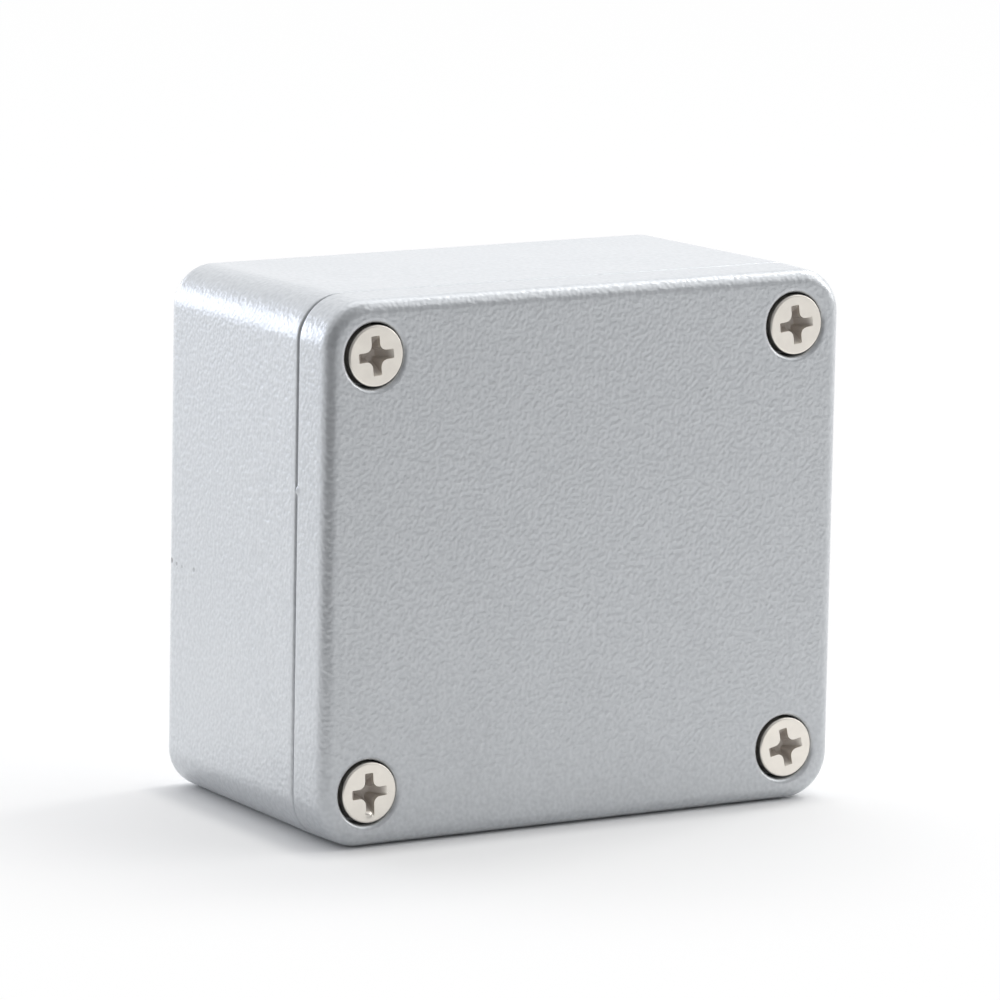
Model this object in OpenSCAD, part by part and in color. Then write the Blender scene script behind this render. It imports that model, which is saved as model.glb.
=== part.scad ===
// Small die-cast aluminium junction box with a sealed screw-on lid.
// The box stands on one long side, with the face of the lid towards -Y.
// Every piece is drawn lying on its back, with z up from the back to the lid, and stand() sets it upright.

/* [Box] */
// Width across the lid
box_w = 64; // [56:1:120]
// Height of the box as it stands
box_h = 58; // [56:1:120]
// Depth from the back to the face of the lid
box_d = 35; // [32:1:80]
// Plan radius of the four corners at the parting line
corner_r = 5; // [4:0.5:7]
// Draft of the cast walls in degrees
draft = 1; // [0.5:0.25:2]
// Thickness of the base's walls at their rim
wall_t = 3; // [2.8:0.1:3.4]
// Thickness of the base's floor
floor_t = 3; // [2.5:0.25:5]
// Fillet round the edges of the back
back_edge_r = 2; // [1:0.25:2.5]
// Fillet between the inner walls and the floor
floor_fillet_r = 1; // [0.4:0.1:1.2]
// Broken edge along both sides of the parting line
rim_break = 0.2; // [0.1:0.05:0.4]

/* [Lid] */
// Depth of the lid
lid_d = 6; // [5.75:0.25:9]
// Fillet round the edge of the lid's face
lid_edge_r = 1.5; // [0.75:0.25:2]
// Thickness of the lid's panel over the cavity
panel_t = 2.8; // [2:0.2:3.6]
// Fillet round the inside of the panel
panel_fillet_r = 0.4; // [0.2:0.05:0.5]
// Gap that the seal leaves between lid and base
parting_gap = 0.2; // [0.1:0.05:0.4]

/* [Seal] */
// Width of the tongue that stands on the base's rim
tongue_w = 1.2; // [1:0.1:1.6]
// Height of the tongue above the rim
tongue_h = 1.2; // [0.8:0.1:1.8]
// Width of the groove in the lid
groove_w = 2.4; // [2:0.1:2.8]
// Depth of the groove in the lid
groove_d = 2.4; // [2.1:0.1:2.8]
// Thickness of the rib along the inner side of the groove
rib_t = 1.2; // [0.8:0.1:1.4]
// Clearance of the gasket from each side of its groove
gasket_clearance = 0.1; // [0.05:0.05:0.3]
// Radius of the tongue's bend round a screw post
post_bend_r = 4.8; // [4.6:0.1:6]

/* [Lid screws] */
// Distance of each screw from the two outer faces beside it
screw_inset = 6; // [5.5:0.1:8]
// Nominal thread diameter of all screws
thread_d = 4; // [3:0.5:4]
// Radial clearance of a screw in its tapped hole
thread_clearance = 0.05; // [0.02:0.01:0.1]
// Length of a lid screw under its head
screw_len = 16; // [10:1:20]
// Diameter of a screw's head
head_d = 6.5; // [6:0.1:7.2]
// Height of a screw's head
head_h = 2.6; // [2.2:0.1:2.8]
// Rounding of a head's rim
head_rim_r = 0.4; // [0.2:0.1:1]
// Depth of the heads below the face of the lid
head_recess = 0.05; // [0:0.05:0.6]
// Radial clearance of a head in its counterbore
head_clearance = 0.35; // [0.2:0.05:0.6]
// Radial clearance of a screw in the lid
lid_hole_clearance = 0.25; // [0.15:0.05:0.4]
// Rounding of the painted mouth of a counterbore
counterbore_lip_r = 0.65; // [0.2:0.05:0.7]
// Turn of the cross in each head in degrees, from the upper right screw round by the left
cross_turns = [7, 5, 3, 12]; // [0:1:89]
// Width of the cross over two of its arms
cross_span = 4.2; // [3.6:0.1:4.8]
// Width of one arm of the cross
cross_arm_w = 1; // [0.6:0.05:1.1]
// Depth of the cross
cross_depth = 1.8; // [1:0.1:2]
// Room left below a screw in its tapped hole
tap_runout = 1.5; // [1:0.25:3]

/* [Wall mounting] */
// Distance from a lid screw to the mounting hole beside it
mount_offset = 9; // [8.5:0.5:12]
// Diameter of the mounting holes
mount_hole_d = 4.5; // [3.5:0.1:5.2]
// Diameter of the channel that takes the head of a mounting screw
mount_channel_d = 7.6; // [7:0.1:8]
// Thickness of the seat under the head of a mounting screw
mount_seat_t = 5; // [3:0.5:8]

/* [Inner bosses] */
// Distance between the two fixing bosses on the floor
boss_pitch = 28; // [20:1:32]
// Diameter of the bosses at their top
boss_d = 8; // [7:0.5:9]
// Height of the bosses above the floor
boss_h = 5; // [4:0.5:8]
// Thickness of metal left under the holes in the bosses
boss_blind_t = 1.5; // [1:0.25:2.5]
// Distance of the earth boss from the outer face beside it
earth_inset = 8.6; // [8.6:0.1:10]
// Height of the earth boss above or below the middle of the box
earth_rise = -4.5; // [-6:0.5:-2]
// Length of the earth screw under its head
earth_screw_len = 8; // [6:1:8]
// Diameter of the earth terminal's plain washer
washer_d = 9; // [8:0.5:9]
// Thickness of the plain washer
washer_t = 0.8; // [0.5:0.1:1.2]
// Diameter of the spring washer
spring_washer_d = 7.2; // [6.6:0.1:7.6]
// Thickness of the spring washer
spring_washer_t = 0.9; // [0.7:0.1:1.2]
// Width of the split in the spring washer, as an angle in degrees
spring_split = 12; // [6:1:20]
// Radial clearance of the washers on the screw
washer_clearance = 0.1; // [0.05:0.05:0.3]

/* [Hidden] */
$fn = 96;
over = 1;

// Share of a counterbore's lip that lies below the face, so that it meets the face at a slight angle
lip_share = 0.98;
// Width left at the bottom of the cross, as a share of its width at the top
cross_tip_share = 1 / 3;
// Diameters of the cross's tapered middle, in widths of an arm at the bottom and of the cross at the top
cross_core_tip = 1.2;
cross_core_mouth = 0.5;
// Largest fillet inside a bend of the seal's track, as a share of the bend's radius
foot_share = 0.45;
// How near the sections swept along the track come to the axes of its bends, as a share of a bend's radius
core_share = 1 / 18;
// How far the room inside the track laps over those axes, as a share of a bend's radius
lap_share = 1 / 12;

paint = "#b4b8bb";
rubber = "#2a2a2c";
nickel = "#d8d3ca";
zinc = "#b9bcb4";

base_d = box_d - lid_d - parting_gap;
lid_z = box_d - lid_d;
corner_x = box_w / 2 - corner_r;
corner_y = box_h / 2 - corner_r;

screw_x = box_w / 2 - screw_inset;
screw_y = box_h / 2 - screw_inset;
screw_places = [[screw_x, screw_y], [-screw_x, screw_y], [-screw_x, -screw_y], [screw_x, -screw_y]];
screw_seat_z = box_d - head_recess - head_h;
screw_r = thread_d / 2 - thread_clearance;
screw_tip_chamfer = screw_r / 4;
counterbore_r = head_d / 2 + head_clearance;
lid_hole_r = thread_d / 2 + lid_hole_clearance;

mount_x = screw_x;
mount_y = screw_y - mount_offset;

track_inset = wall_t - tongue_w / 2;
track_fillet_r = screw_inset - track_inset;
bend = post_bend_r + track_fillet_r;
core_r = core_share * track_fillet_r;
core_lap = lap_share * track_fillet_r;
track_reach = track_fillet_r - core_r;
post_reach = bend * sqrt(2) - post_bend_r + over;
gasket_w = groove_w - 2 * gasket_clearance;
gasket_t = groove_d - tongue_h + parting_gap;

boss_top_z = floor_t + boss_h;
earth_place = [box_w / 2 - earth_inset, earth_rise];
boss_places = [[boss_pitch / 2, 0], [-boss_pitch / 2, 0], earth_place];

// Turns a piece drawn on its back so that it stands on its long side, centred over the origin
module stand() {
    translate([0, box_d / 2, box_h / 2]) rotate([90, 0, 0]) children();
}

// Slice of a disc between two angles
module sector(r, from, to) {
    mid = (from + to) / 2;
    intersection() {
        circle(r);
        polygon([[0, 0], for (a = [from, mid, to]) 2 * r * [cos(a), sin(a)]]);
    }
}

// Section of a cast wall, with its rim at y = 0, its outer face leaning in by the draft down to a foot at
// y = -depth with a fillet, and its inner side at inner_x
module wall_section(rim_x, depth, foot, inner_x, edge = 0, rise = 0) {
    lean = tan(draft);
    centre = [rim_x - (depth - edge - foot) * lean - foot / cos(draft), foot - depth];
    touch = centre + foot * [cos(draft), -sin(draft)];
    polygon([
        [inner_x, rise],
        [inner_x, -depth],
        [centre.x, -depth],
        centre,
        touch,
        [rim_x, -edge],
        [rim_x - edge, 0],
        [rim_x - edge, rise]
    ]);
    translate(centre) sector(foot, 270, 360 - draft);
}

// Largest fillet up to r that still turns round the tightest bend of the seal's track
function track_foot(r, rim_x, depth) = min(r, foot_share * (rim_x + track_reach - depth * tan(draft)));

// Straight stretch of a section, whose x points outwards along x
module straight(length) {
    rotate([90, 0, 0]) linear_extrude(length, center = true) children();
}

// Sweeps a section round the plan of the box, with x = 0 on the line through the corners' centres
module round_plan() {
    for (turn = [0, 180]) rotate(turn) {
        translate([corner_x, corner_y, 0]) rotate_extrude(angle = 90) children();
        translate([-corner_x, corner_y, 0]) rotate(90) rotate_extrude(angle = 90) children();
        translate([corner_x, 0, 0]) straight(2 * corner_y) children();
        translate([0, corner_y, 0]) rotate(90) straight(2 * corner_x) children();
    }
}

// Bends of the seal's track: one away from the walls, and one round a post
module bend_out(x, y, start) {
    translate([x, y, 0]) rotate(start) rotate_extrude(angle = 90) translate([track_fillet_r, 0]) children();
}

module bend_in(x, y, start) {
    translate([x, y, 0]) rotate(start) rotate_extrude(angle = 90) translate([post_bend_r, 0]) mirror([1, 0])
        children();
}

// Sweeps a section along the seal's track, which follows the walls and steps inside the four posts.
// The section's x is the distance outwards from the track, and a second child is the section at the posts
module along_track() {
    post = $children - 1;
    side = 2 * (screw_y - bend) - mount_offset;
    for (turn = [0, 180]) rotate(turn) {
        bend_out(screw_x - bend, screw_y, 0) children(0);
        translate([screw_x - post_bend_r, screw_y - mount_offset / 2, 0]) straight(mount_offset) children(post);
        bend_in(mount_x, mount_y, 180) children(post);
        bend_out(mount_x, mount_y - bend, 0) children(0);
        translate([box_w / 2 - track_inset, -mount_offset / 2, 0]) straight(side) children(0);
        bend_out(screw_x, bend - screw_y, 270) children(0);
        bend_in(screw_x, -screw_y, 90) children(post);
        bend_out(screw_x - bend, -screw_y, 270) children(0);
        translate([0, track_inset - box_h / 2, 0]) rotate(270) straight(2 * (screw_x - bend)) children(0);
    }
}

// Room inside the bends of the track, from one height to another, lapping into the sections swept along it
module inside_track(from, to) {
    middle = [screw_x - bend + core_lap, screw_y + core_lap];
    side = [screw_x + core_lap, 2 * (screw_y - bend + core_lap) - mount_offset];
    translate([-middle.x, -middle.y, from]) cube([2 * middle.x, 2 * middle.y, to - from]);
    for (turn = [0, 180]) rotate(turn) translate([0, bend - screw_y - core_lap, from])
        cube([side.x, side.y, to - from]);
}

// Outside of the base as cast, without its cavity
module base_block() {
    round_plan() translate([0, base_d]) wall_section(corner_r, base_d, back_edge_r, 0, rim_break);
    translate([-corner_x, -corner_y, 0]) cube([2 * corner_x, 2 * corner_y, base_d]);
}

// Room inside the base, open at the rim
module cavity() {
    rim_x = -tongue_w / 2;
    depth = base_d - floor_t;
    foot = track_foot(floor_fillet_r, rim_x, depth);
    along_track() {
        translate([0, base_d]) wall_section(rim_x, depth, foot, -track_reach, rise = over);
        translate([0, base_d]) wall_section(rim_x, depth, foot, -post_reach, rise = over);
    }
    inside_track(floor_t, base_d + over);
}

module tongue() {
    along_track() translate([-tongue_w / 2, base_d]) square([tongue_w, tongue_h]);
}

// Boss with draft, sunk into the floor that it stands on
module boss() {
    root_d = boss_d + 2 * boss_top_z * tan(draft);
    cylinder(h = boss_top_z, d1 = root_d, d2 = boss_d);
}

// Stepped hole for a mounting screw, from its channel in the rim to the back
module mount_hole() {
    hole_r = mount_hole_d / 2;
    channel_r = mount_channel_d / 2;
    rotate_extrude() polygon([
        [0, -over],
        [hole_r, -over],
        [hole_r, mount_seat_t],
        [channel_r, mount_seat_t],
        [channel_r, base_d + over],
        [0, base_d + over]
    ]);
}

module base() {
    tap_z = screw_seat_z - screw_len - tap_runout;
    color(paint) stand() difference() {
        union() {
            difference() {
                base_block();
                cavity();
            }
            tongue();
            for (place = boss_places) translate(place) boss();
        }
        for (place = screw_places) translate([place.x, place.y, tap_z]) cylinder(h = base_d, d = thread_d);
        for (place = boss_places) translate([place.x, place.y, boss_blind_t])
            cylinder(h = boss_top_z, d = thread_d);
        for (side = [1, -1]) translate([side * mount_x, side * mount_y, 0]) mount_hole();
    }
}

// Stepped hole for a lid screw, from the underside of the lid to the mouth of its counterbore
module screw_cut() {
    lip = [counterbore_r + counterbore_lip_r, box_d - lip_share * counterbore_lip_r];
    rotate_extrude() {
        polygon([
            [0, lid_z - over],
            [lid_hole_r, lid_z - over],
            [lid_hole_r, screw_seat_z],
            [counterbore_r, screw_seat_z],
            [counterbore_r, box_d + over],
            [0, box_d + over]
        ]);
        difference() {
            translate([lid_hole_r, lip.y]) square([lip.x - lid_hole_r, box_d + over - lip.y]);
            translate(lip) circle(counterbore_lip_r);
        }
    }
}

// Outside of the lid as cast
module lid_block() {
    round_plan() translate([0, lid_z]) mirror([0, 1]) wall_section(corner_r, lid_d, lid_edge_r, 0, rim_break);
    translate([-corner_x, -corner_y, lid_z]) cube([2 * corner_x, 2 * corner_y, lid_d]);
}

// Recess behind the lid's panel, inside the rib
module panel_recess() {
    rim_x = -groove_w / 2 - rib_t;
    depth = lid_d - panel_t;
    foot = track_foot(panel_fillet_r, rim_x, depth);
    along_track() {
        translate([0, lid_z]) mirror([0, 1]) wall_section(rim_x, depth, foot, -track_reach, rise = over);
        translate([0, lid_z]) mirror([0, 1]) wall_section(rim_x, depth, foot, -post_reach, rise = over);
    }
    inside_track(lid_z - over, lid_z + depth);
}

module lid() {
    color(paint) stand() difference() {
        lid_block();
        along_track() translate([-groove_w / 2, lid_z - over]) square([groove_w, groove_d + over]);
        panel_recess();
        for (place = screw_places) translate(place) screw_cut();
    }
}

module gasket() {
    color(rubber) stand()
        along_track() translate([-gasket_w / 2, lid_z + groove_d - gasket_t]) square([gasket_w, gasket_t]);
}

// Cross recess with tapered arms and a tapered middle, cut down from z = 0
module cross_recess() {
    tip_span = cross_tip_share * cross_span;
    core_tip_d = cross_core_tip * cross_arm_w;
    core_mouth_d = cross_core_mouth * cross_span;
    flare = (cross_span - tip_span) / cross_depth * over;
    for (turn = [0, 90]) rotate([90, 0, turn]) linear_extrude(cross_arm_w, center = true) polygon([
        [-cross_span - flare, 2 * over] / 2,
        [cross_span + flare, 2 * over] / 2,
        [tip_span / 2, -cross_depth],
        [-tip_span / 2, -cross_depth]
    ]);
    translate([0, 0, -cross_depth]) cylinder(h = cross_depth + over, d1 = core_tip_d, d2 = core_mouth_d);
}

// Cheese-head screw with its seat at z = 0 and its thread drawn plain
module screw(length, turn) {
    head_r = head_d / 2;
    rim = [head_r - head_rim_r, head_h - head_rim_r];
    difference() {
        rotate_extrude() {
            polygon([
                [0, -length],
                [screw_r - screw_tip_chamfer, -length],
                [screw_r, screw_tip_chamfer - length],
                [screw_r, 0],
                [head_r, 0],
                [head_r, rim.y],
                rim,
                [rim.x, head_h],
                [0, head_h]
            ]);
            translate(rim) sector(head_rim_r, 0, 90);
        }
        translate([0, 0, head_h]) rotate(turn) cross_recess();
    }
}

module lid_screws() {
    color(nickel) stand() for (i = [0:len(screw_places) - 1])
        translate([screw_places[i].x, screw_places[i].y, screw_seat_z]) screw(screw_len, cross_turns[i]);
}

module washer(d, t, split = 0) {
    hole_r = screw_r + washer_clearance;
    rotate(split / 2) rotate_extrude(angle = 360 - split) translate([hole_r, 0]) square([d / 2 - hole_r, t]);
}

// Places a piece of the earth terminal at a height above its boss
module on_earth_boss(height) {
    stand() translate([earth_place.x, earth_place.y, boss_top_z + height]) children();
}

module earth_screw() {
    color(zinc) on_earth_boss(washer_t + spring_washer_t) screw(earth_screw_len, 0);
}

module earth_spring_washer() {
    color(zinc) on_earth_boss(washer_t) washer(spring_washer_d, spring_washer_t, spring_split);
}

module earth_washer() {
    color(zinc) on_earth_boss(0) washer(washer_d, washer_t);
}

base();
lid();
gasket();
lid_screws();
earth_screw();
earth_spring_washer();
earth_washer();
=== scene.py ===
"""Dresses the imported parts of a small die-cast junction box and sets them on a plain studio stage.

Every piece is drawn in metres as if the box lay on its back, with z up from the back to the lid's face.
stand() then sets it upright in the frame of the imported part, with the face of the lid towards -Y.
"""

import math

import bpy
import numpy as np
from bpy.props import FloatProperty, FloatVectorProperty, PointerProperty
from mathutils import Matrix, Vector
from mathutils.geometry import delaunay_2d_cdt
from mathutils.kdtree import KDTree


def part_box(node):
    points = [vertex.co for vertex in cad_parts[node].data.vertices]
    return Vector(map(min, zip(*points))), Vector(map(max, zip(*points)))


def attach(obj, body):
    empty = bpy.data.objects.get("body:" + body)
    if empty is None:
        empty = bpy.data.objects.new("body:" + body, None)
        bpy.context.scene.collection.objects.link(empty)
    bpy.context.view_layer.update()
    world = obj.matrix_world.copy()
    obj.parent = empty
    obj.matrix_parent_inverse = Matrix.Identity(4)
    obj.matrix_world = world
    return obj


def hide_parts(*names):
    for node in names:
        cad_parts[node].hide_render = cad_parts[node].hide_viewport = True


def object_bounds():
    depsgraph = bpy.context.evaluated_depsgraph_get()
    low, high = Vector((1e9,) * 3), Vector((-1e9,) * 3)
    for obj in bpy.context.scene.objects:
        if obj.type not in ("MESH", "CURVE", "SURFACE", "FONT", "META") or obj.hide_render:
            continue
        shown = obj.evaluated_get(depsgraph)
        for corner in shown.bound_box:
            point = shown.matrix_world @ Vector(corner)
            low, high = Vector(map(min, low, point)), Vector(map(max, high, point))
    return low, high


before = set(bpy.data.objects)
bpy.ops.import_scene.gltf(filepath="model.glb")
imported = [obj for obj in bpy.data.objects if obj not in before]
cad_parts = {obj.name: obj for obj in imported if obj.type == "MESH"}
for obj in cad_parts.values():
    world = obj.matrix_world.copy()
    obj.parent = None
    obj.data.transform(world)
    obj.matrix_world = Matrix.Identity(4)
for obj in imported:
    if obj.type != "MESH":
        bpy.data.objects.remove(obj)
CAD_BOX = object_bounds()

bl_info = {
    "name": "Junction Box",
    "version": (1, 0, 0),
    "blender": (4, 5, 0),
    "location": "View3D > Sidebar > Junction Box",
    "description": "Dresses the packed parts of a small die-cast junction box",
    "category": "Object",
}

MM = 0.001

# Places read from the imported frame
BOX_LOW, BOX_HIGH = CAD_BOX
MIDDLE_Z = (BOX_LOW.z + BOX_HIGH.z) / 2
BASE_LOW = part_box("base")[0]
LID_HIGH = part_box("lid")[1]
GASKET_LOW, GASKET_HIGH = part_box("gasket")
SCREWS_LOW, SCREWS_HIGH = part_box("lid_screws")
EARTH_LOW, EARTH_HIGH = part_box("earth_screw")
SPRING_LOW, SPRING_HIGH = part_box("earth_spring_washer")
WASHER_LOW, WASHER_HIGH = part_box("earth_washer")


def above_back(y):
    """Height of a place in the frame above the back of the box, as it lies on its back."""
    return BOX_HIGH.y - y


def length(name, description, default):
    """A size in metres that a user can change."""
    return FloatProperty(name=name, description=description, default=default, min=0, precision=5,
                         unit="LENGTH")


def angle(name, description, degrees):
    """An angle that a user can change, with its default in degrees."""
    return FloatProperty(name=name, description=description, default=math.radians(degrees), unit="ROTATION")


def factor(name, description, default):
    """A share from 0 to 1 that a user can change."""
    return FloatProperty(name=name, description=description, default=default, min=0, max=1,
                         subtype="FACTOR")


def amount(name, description, default):
    """A plain number that a user can change."""
    return FloatProperty(name=name, description=description, default=default, min=0)


def colour(name, description, default):
    """A colour that a user can change."""
    return FloatVectorProperty(name=name, description=description, default=default, min=0, max=1,
                               subtype="COLOR")


def place(name, description, default):
    """A point in metres that a user can change."""
    return FloatVectorProperty(name=name, description=description, default=default,
                               subtype="TRANSLATION", unit="LENGTH")


class CastingSizes(bpy.types.PropertyGroup):
    """Sizes of the two castings and of the seal between them."""

    width: length("Width", "Width across the lid", BOX_HIGH.x - BOX_LOW.x)
    height: length("Height", "Height of the box as it stands", BOX_HIGH.z - BOX_LOW.z)
    depth: length("Depth", "Depth from the back to the face of the lid", BOX_HIGH.y - BOX_LOW.y)
    lid_start: length("Lid start", "Height of the lid's rim above the back", above_back(LID_HIGH.y))
    corner_r: length("Corner radius", "Plan radius of the four corners", 5 * MM)
    draft: angle("Draft", "Draft of the cast walls", 1)
    floor_t: length("Floor thickness", "Thickness of the base's floor", 3 * MM)
    back_edge_r: length("Back edge", "Fillet round the edges of the back", 2 * MM)
    floor_fillet_r: length("Floor fillet", "Fillet between inner walls and floor", 1 * MM)
    lid_edge_r: length("Lid edge", "Fillet round the edge of the lid's face", 1.5 * MM)
    panel_t: length("Panel thickness", "Thickness of the lid over the cavity", 2.8 * MM)
    panel_fillet_r: length("Panel fillet", "Fillet round the inside of the panel", 0.4 * MM)
    rim_r: length("Rim rounding", "Rounding of the painted edges at the parting line", 0.3 * MM)
    wall_t: length("Wall thickness", "Thickness of the base's walls at their rim", 3 * MM)
    tongue_w: length("Tongue width", "Width of the tongue on the base's rim", 1.2 * MM)
    tongue_h: length("Tongue height", "Height of the tongue above the rim", 1.2 * MM)
    groove_w: length("Groove width", "Width of the groove in the lid", 2.4 * MM)
    groove_d: length("Groove depth", "Depth of the groove in the lid", 2.4 * MM)
    rib_t: length("Rib thickness", "Thickness of the rib inside the groove", 1.2 * MM)
    post_bend_r: length("Post bend", "Radius of the tongue's bend round a screw post", 4.8 * MM)
    mount_offset: length("Mount offset", "Distance from a lid screw to the mounting hole beside it", 9 * MM)
    mount_hole_r: length("Mounting hole", "Radius of the mounting holes", 2.25 * MM)
    mount_channel_r: length("Mounting channel", "Radius of the channel over a mounting hole", 3.8 * MM)
    mount_seat_t: length("Mounting seat", "Thickness of metal under a mounting screw's head", 5 * MM)
    boss_pitch: length("Boss pitch", "Distance between the two fixing bosses", 28 * MM)
    boss_d: length("Boss diameter", "Diameter of the bosses at their top", 8 * MM)
    boss_blind_t: length("Blind thickness", "Metal left under the holes in the bosses", 1.5 * MM)
    tap_r: length("Tapped hole", "Radius of the tapped holes", 2 * MM)
    tap_runout: length("Tap runout", "Room below a screw in its tapped hole", 1.5 * MM)
    lid_hole_r: length("Lid hole", "Radius of the screw holes in the lid", 2.25 * MM)
    counterbore_r: length("Counterbore", "Radius of the counterbores in the lid", 3.46 * MM)
    counterbore_lip_r: length("Counterbore lip", "Rounding of the paint at a counterbore's mouth", 0.6 * MM)
    screw_shift: length("Screw shift", "Shift of the screws to the right in their counterbores", 0.2 * MM)


class ScrewSizes(bpy.types.PropertyGroup):
    """Sizes of the cross-head screws and of the earth terminal's washers."""

    inset: length("Inset", "Distance of each lid screw from the outer faces beside it", 5.9 * MM)
    shank_r: length("Shank radius", "Radius over the thread", 1.95 * MM)
    head_r: length("Head radius", "Radius of a head", 3.25 * MM)
    head_h: length("Head height", "Height of a head", 2.6 * MM)
    head_rim_r: length("Head rim", "Rounding of a head's rim", 0.22 * MM)
    thread_pitch: length("Thread pitch", "Distance from turn to turn of the thread", 0.7 * MM)
    thread_depth: length("Thread depth", "Depth of the thread", 0.36 * MM)
    cross_span: length("Cross span", "Width of the cross over two arms", 4.2 * MM)
    cross_arm_w: length("Cross arm", "Width of one arm of the cross", 1 * MM)
    cross_web_r: length("Cross web", "Rounding between two arms of the cross", 0.75 * MM)
    cross_depth: length("Cross depth", "Depth of the cross", 1.8 * MM)
    turn_upper_right: angle("Turn upper right", "Turn of the upper right screw's cross", 7)
    turn_upper_left: angle("Turn upper left", "Turn of the upper left screw's cross", 5)
    turn_lower_left: angle("Turn lower left", "Turn of the lower left screw's cross", 3)
    turn_lower_right: angle("Turn lower right", "Turn of the lower right screw's cross", 12)
    slip_length: length("Slip length", "Length of the cut where a driver slipped", 0.45 * MM)
    burr_size: length("Burr size", "Width of the burr at the end of that cut", 0.22 * MM)
    burr_h: length("Burr height", "Height of that burr", 0.2 * MM)
    washer_hole_r: length("Washer hole", "Radius of the washers' holes", 2.05 * MM)
    washer_edge_r: length("Washer edge", "Rounding of the washers' edges", 0.12 * MM)
    spring_split: angle("Spring split", "Width of the split in the spring washer", 12)


class FinishLook(bpy.types.PropertyGroup):
    """Colours and grain of the finishes."""

    paint: colour("Paint", "Silver-grey hammered paint", (0.605, 0.625, 0.645))
    # Painted shade: the paint is darker in the hollows of its grain, as if shaded there
    painted_hollow_shade: colour("Paint in the hollows", "Thin paint between the grains", (0.515, 0.535, 0.555))
    bare: colour("Bare metal", "Cut aluminium in the tapped holes", (0.74, 0.74, 0.73))
    chip: colour("Chip", "Paint chipped to the primer", (0.16, 0.16, 0.17))
    nickel: colour("Nickel", "Plating of the lid screws", (0.93, 0.885, 0.81))
    # Dirt in the cross recesses, darker with depth, that also paints in the shade there
    grime_and_shade: colour("Grime", "Dull metal in the cross recesses", (0.60, 0.555, 0.51))
    zinc: colour("Zinc", "Plating of the earth terminal", (0.66, 0.68, 0.66))
    rubber: colour("Rubber", "Rubber of the seal", (0.03, 0.03, 0.032))
    paint_metal: factor("Paint metal", "How metallic the paint looks", 0.65)
    coat_weight: factor("Clear coat", "Strength of the clear coat on the paint", 0.35)
    coat_roughness: factor("Coat roughness", "Roughness of the clear coat", 0.12)
    chip_depth: length("Chip depth", "Depth of the chips in the paint", 0.05 * MM)
    nickel_roughness: factor("Nickel roughness", "Roughness of the lid screws", 0.3)
    zinc_roughness: factor("Zinc roughness", "Roughness of the earth terminal", 0.36)
    grain_size: length("Grain size", "Size of the paint's hammered grain", 0.44 * MM)
    grain_depth: length("Grain depth", "Depth of the paint's hammered grain", 0.056 * MM)
    fine_size: length("Fine grain size", "Size of the fine grain on the hammered grain", 0.26 * MM)
    fine_depth: length("Fine grain depth", "Depth of the fine grain", 0.014 * MM)
    waver: length("Waver", "Unevenness of the painted edges along the parting line", 0.05 * MM)


class StageLook(bpy.types.PropertyGroup):
    """Camera, lamps and floor."""

    azimuth: angle("Azimuth", "Turn of the camera round the box, from the face of the lid", -31.669)
    elevation: angle("Elevation", "Height of the camera as an angle", 9.949)
    roll: angle("Roll", "Turn of the camera about its own axis", 1.085)
    distance: length("Distance", "Distance of the camera from its target", 801.4 * MM)
    target: place("Target", "Point that the camera looks at", (-0.325 * MM, -0.5 * MM, 32.332 * MM))
    lens: amount("Lens", "Focal length in millimetres on a 36 mm sensor", 268.14)
    floor: colour("Floor", "Colour of the floor", (0.96, 0.96, 0.96))
    floor_glow: factor("Floor glow", "Share of plain white that the camera sees near the box", 0.42)
    far_glow: factor("Far glow", "Share of plain white that the camera sees further away", 0.95)
    mirror_glow: factor("Mirrored glow", "Share of plain white in the floor that the metal mirrors", 0.61)
    back_glow: amount("Glow behind", "Brightness of the mirrored floor behind the box", 1.38)
    room_back: amount("Room behind", "Brightness of the white room behind the box", 1.2)
    room_front: amount("Room in front", "Brightness of the room in front of the box", 0.52)
    room_tint: colour("Room tint", "Colour of the room's light", (0.98, 0.985, 1.0))
    room_dark: amount("Dark place", "Brightness of the dark place in the room", 0.24)
    room_shade: factor("Shade", "How far the room is shaded round the dark place", 0.4)
    dark_azimuth: angle("Dark azimuth", "Turn of the dark place, from the face of the lid", -50)
    dark_elevation: angle("Dark elevation", "Height of the dark place as an angle", 8)


# Arcs, outlines and sections

QUARTERS = (0, 90, 180, 270)
# Gaps below this count as none
NO_GAP = 1e-6
# How far a step of a section may pass its pitch, as a share of it
STEP_SLACK = 0.01
# Points that are tested against an outline at a time
BATCH = 4000
# Least distance of a plate's points from its borders, as a share of their pitch
CLEAR_SHARE = 0.6
# Margin of the triangulation, in millimetres
MERGE_WITHIN = 1e-6
SHARP_ANGLE = math.radians(35)


def chain(arcs, pitch, arc_steps=None, line_steps=None):
    """Closed outline through arcs joined by straight lines, as a function of how far it is moved outwards.

    An arc is (centre, radius, start, turn), with angles in degrees. One with a positive turn bulges
    outwards and grows with the outline, and one with a negative turn is a hollow and shrinks. Any offset
    gives as many points.
    """
    spans = []
    for i, (centre, radius, start, turn) in enumerate(arcs):
        end = arc_point(centre, radius, start + turn)
        gap = np.linalg.norm(arc_point(*arcs[(i + 1) % len(arcs)][:3]) - end)
        around = arc_steps or max(4, round(abs(math.radians(turn)) * radius / pitch))
        along = line_steps or max(1, round(gap / pitch))
        spans.append((around, along if gap > NO_GAP else 0))

    def outline(offset=0.0):
        bends = []
        for (centre, radius, start, turn), (around, _) in zip(arcs, spans):
            grown = radius + math.copysign(1, turn) * offset
            bends.append(arc_point(centre, grown, start + turn * np.linspace(0, 1, around + 1)))
        points = []
        for i, (_, along) in enumerate(spans):
            following = bends[(i + 1) % len(bends)]
            points.append(bends[i] if along else bends[i][:-1])
            shares = np.arange(1, along)[:, None] / max(along, 1)
            points.append(bends[i][-1] + shares * (following[0] - bends[i][-1]))
        return np.vstack(points)

    return outline


def arc_point(centre, radius, degrees):
    """Point or points of an arc."""
    turn = np.radians(degrees)
    return np.array(centre) + radius * np.stack([np.cos(turn), np.sin(turn)], axis=-1)


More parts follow.
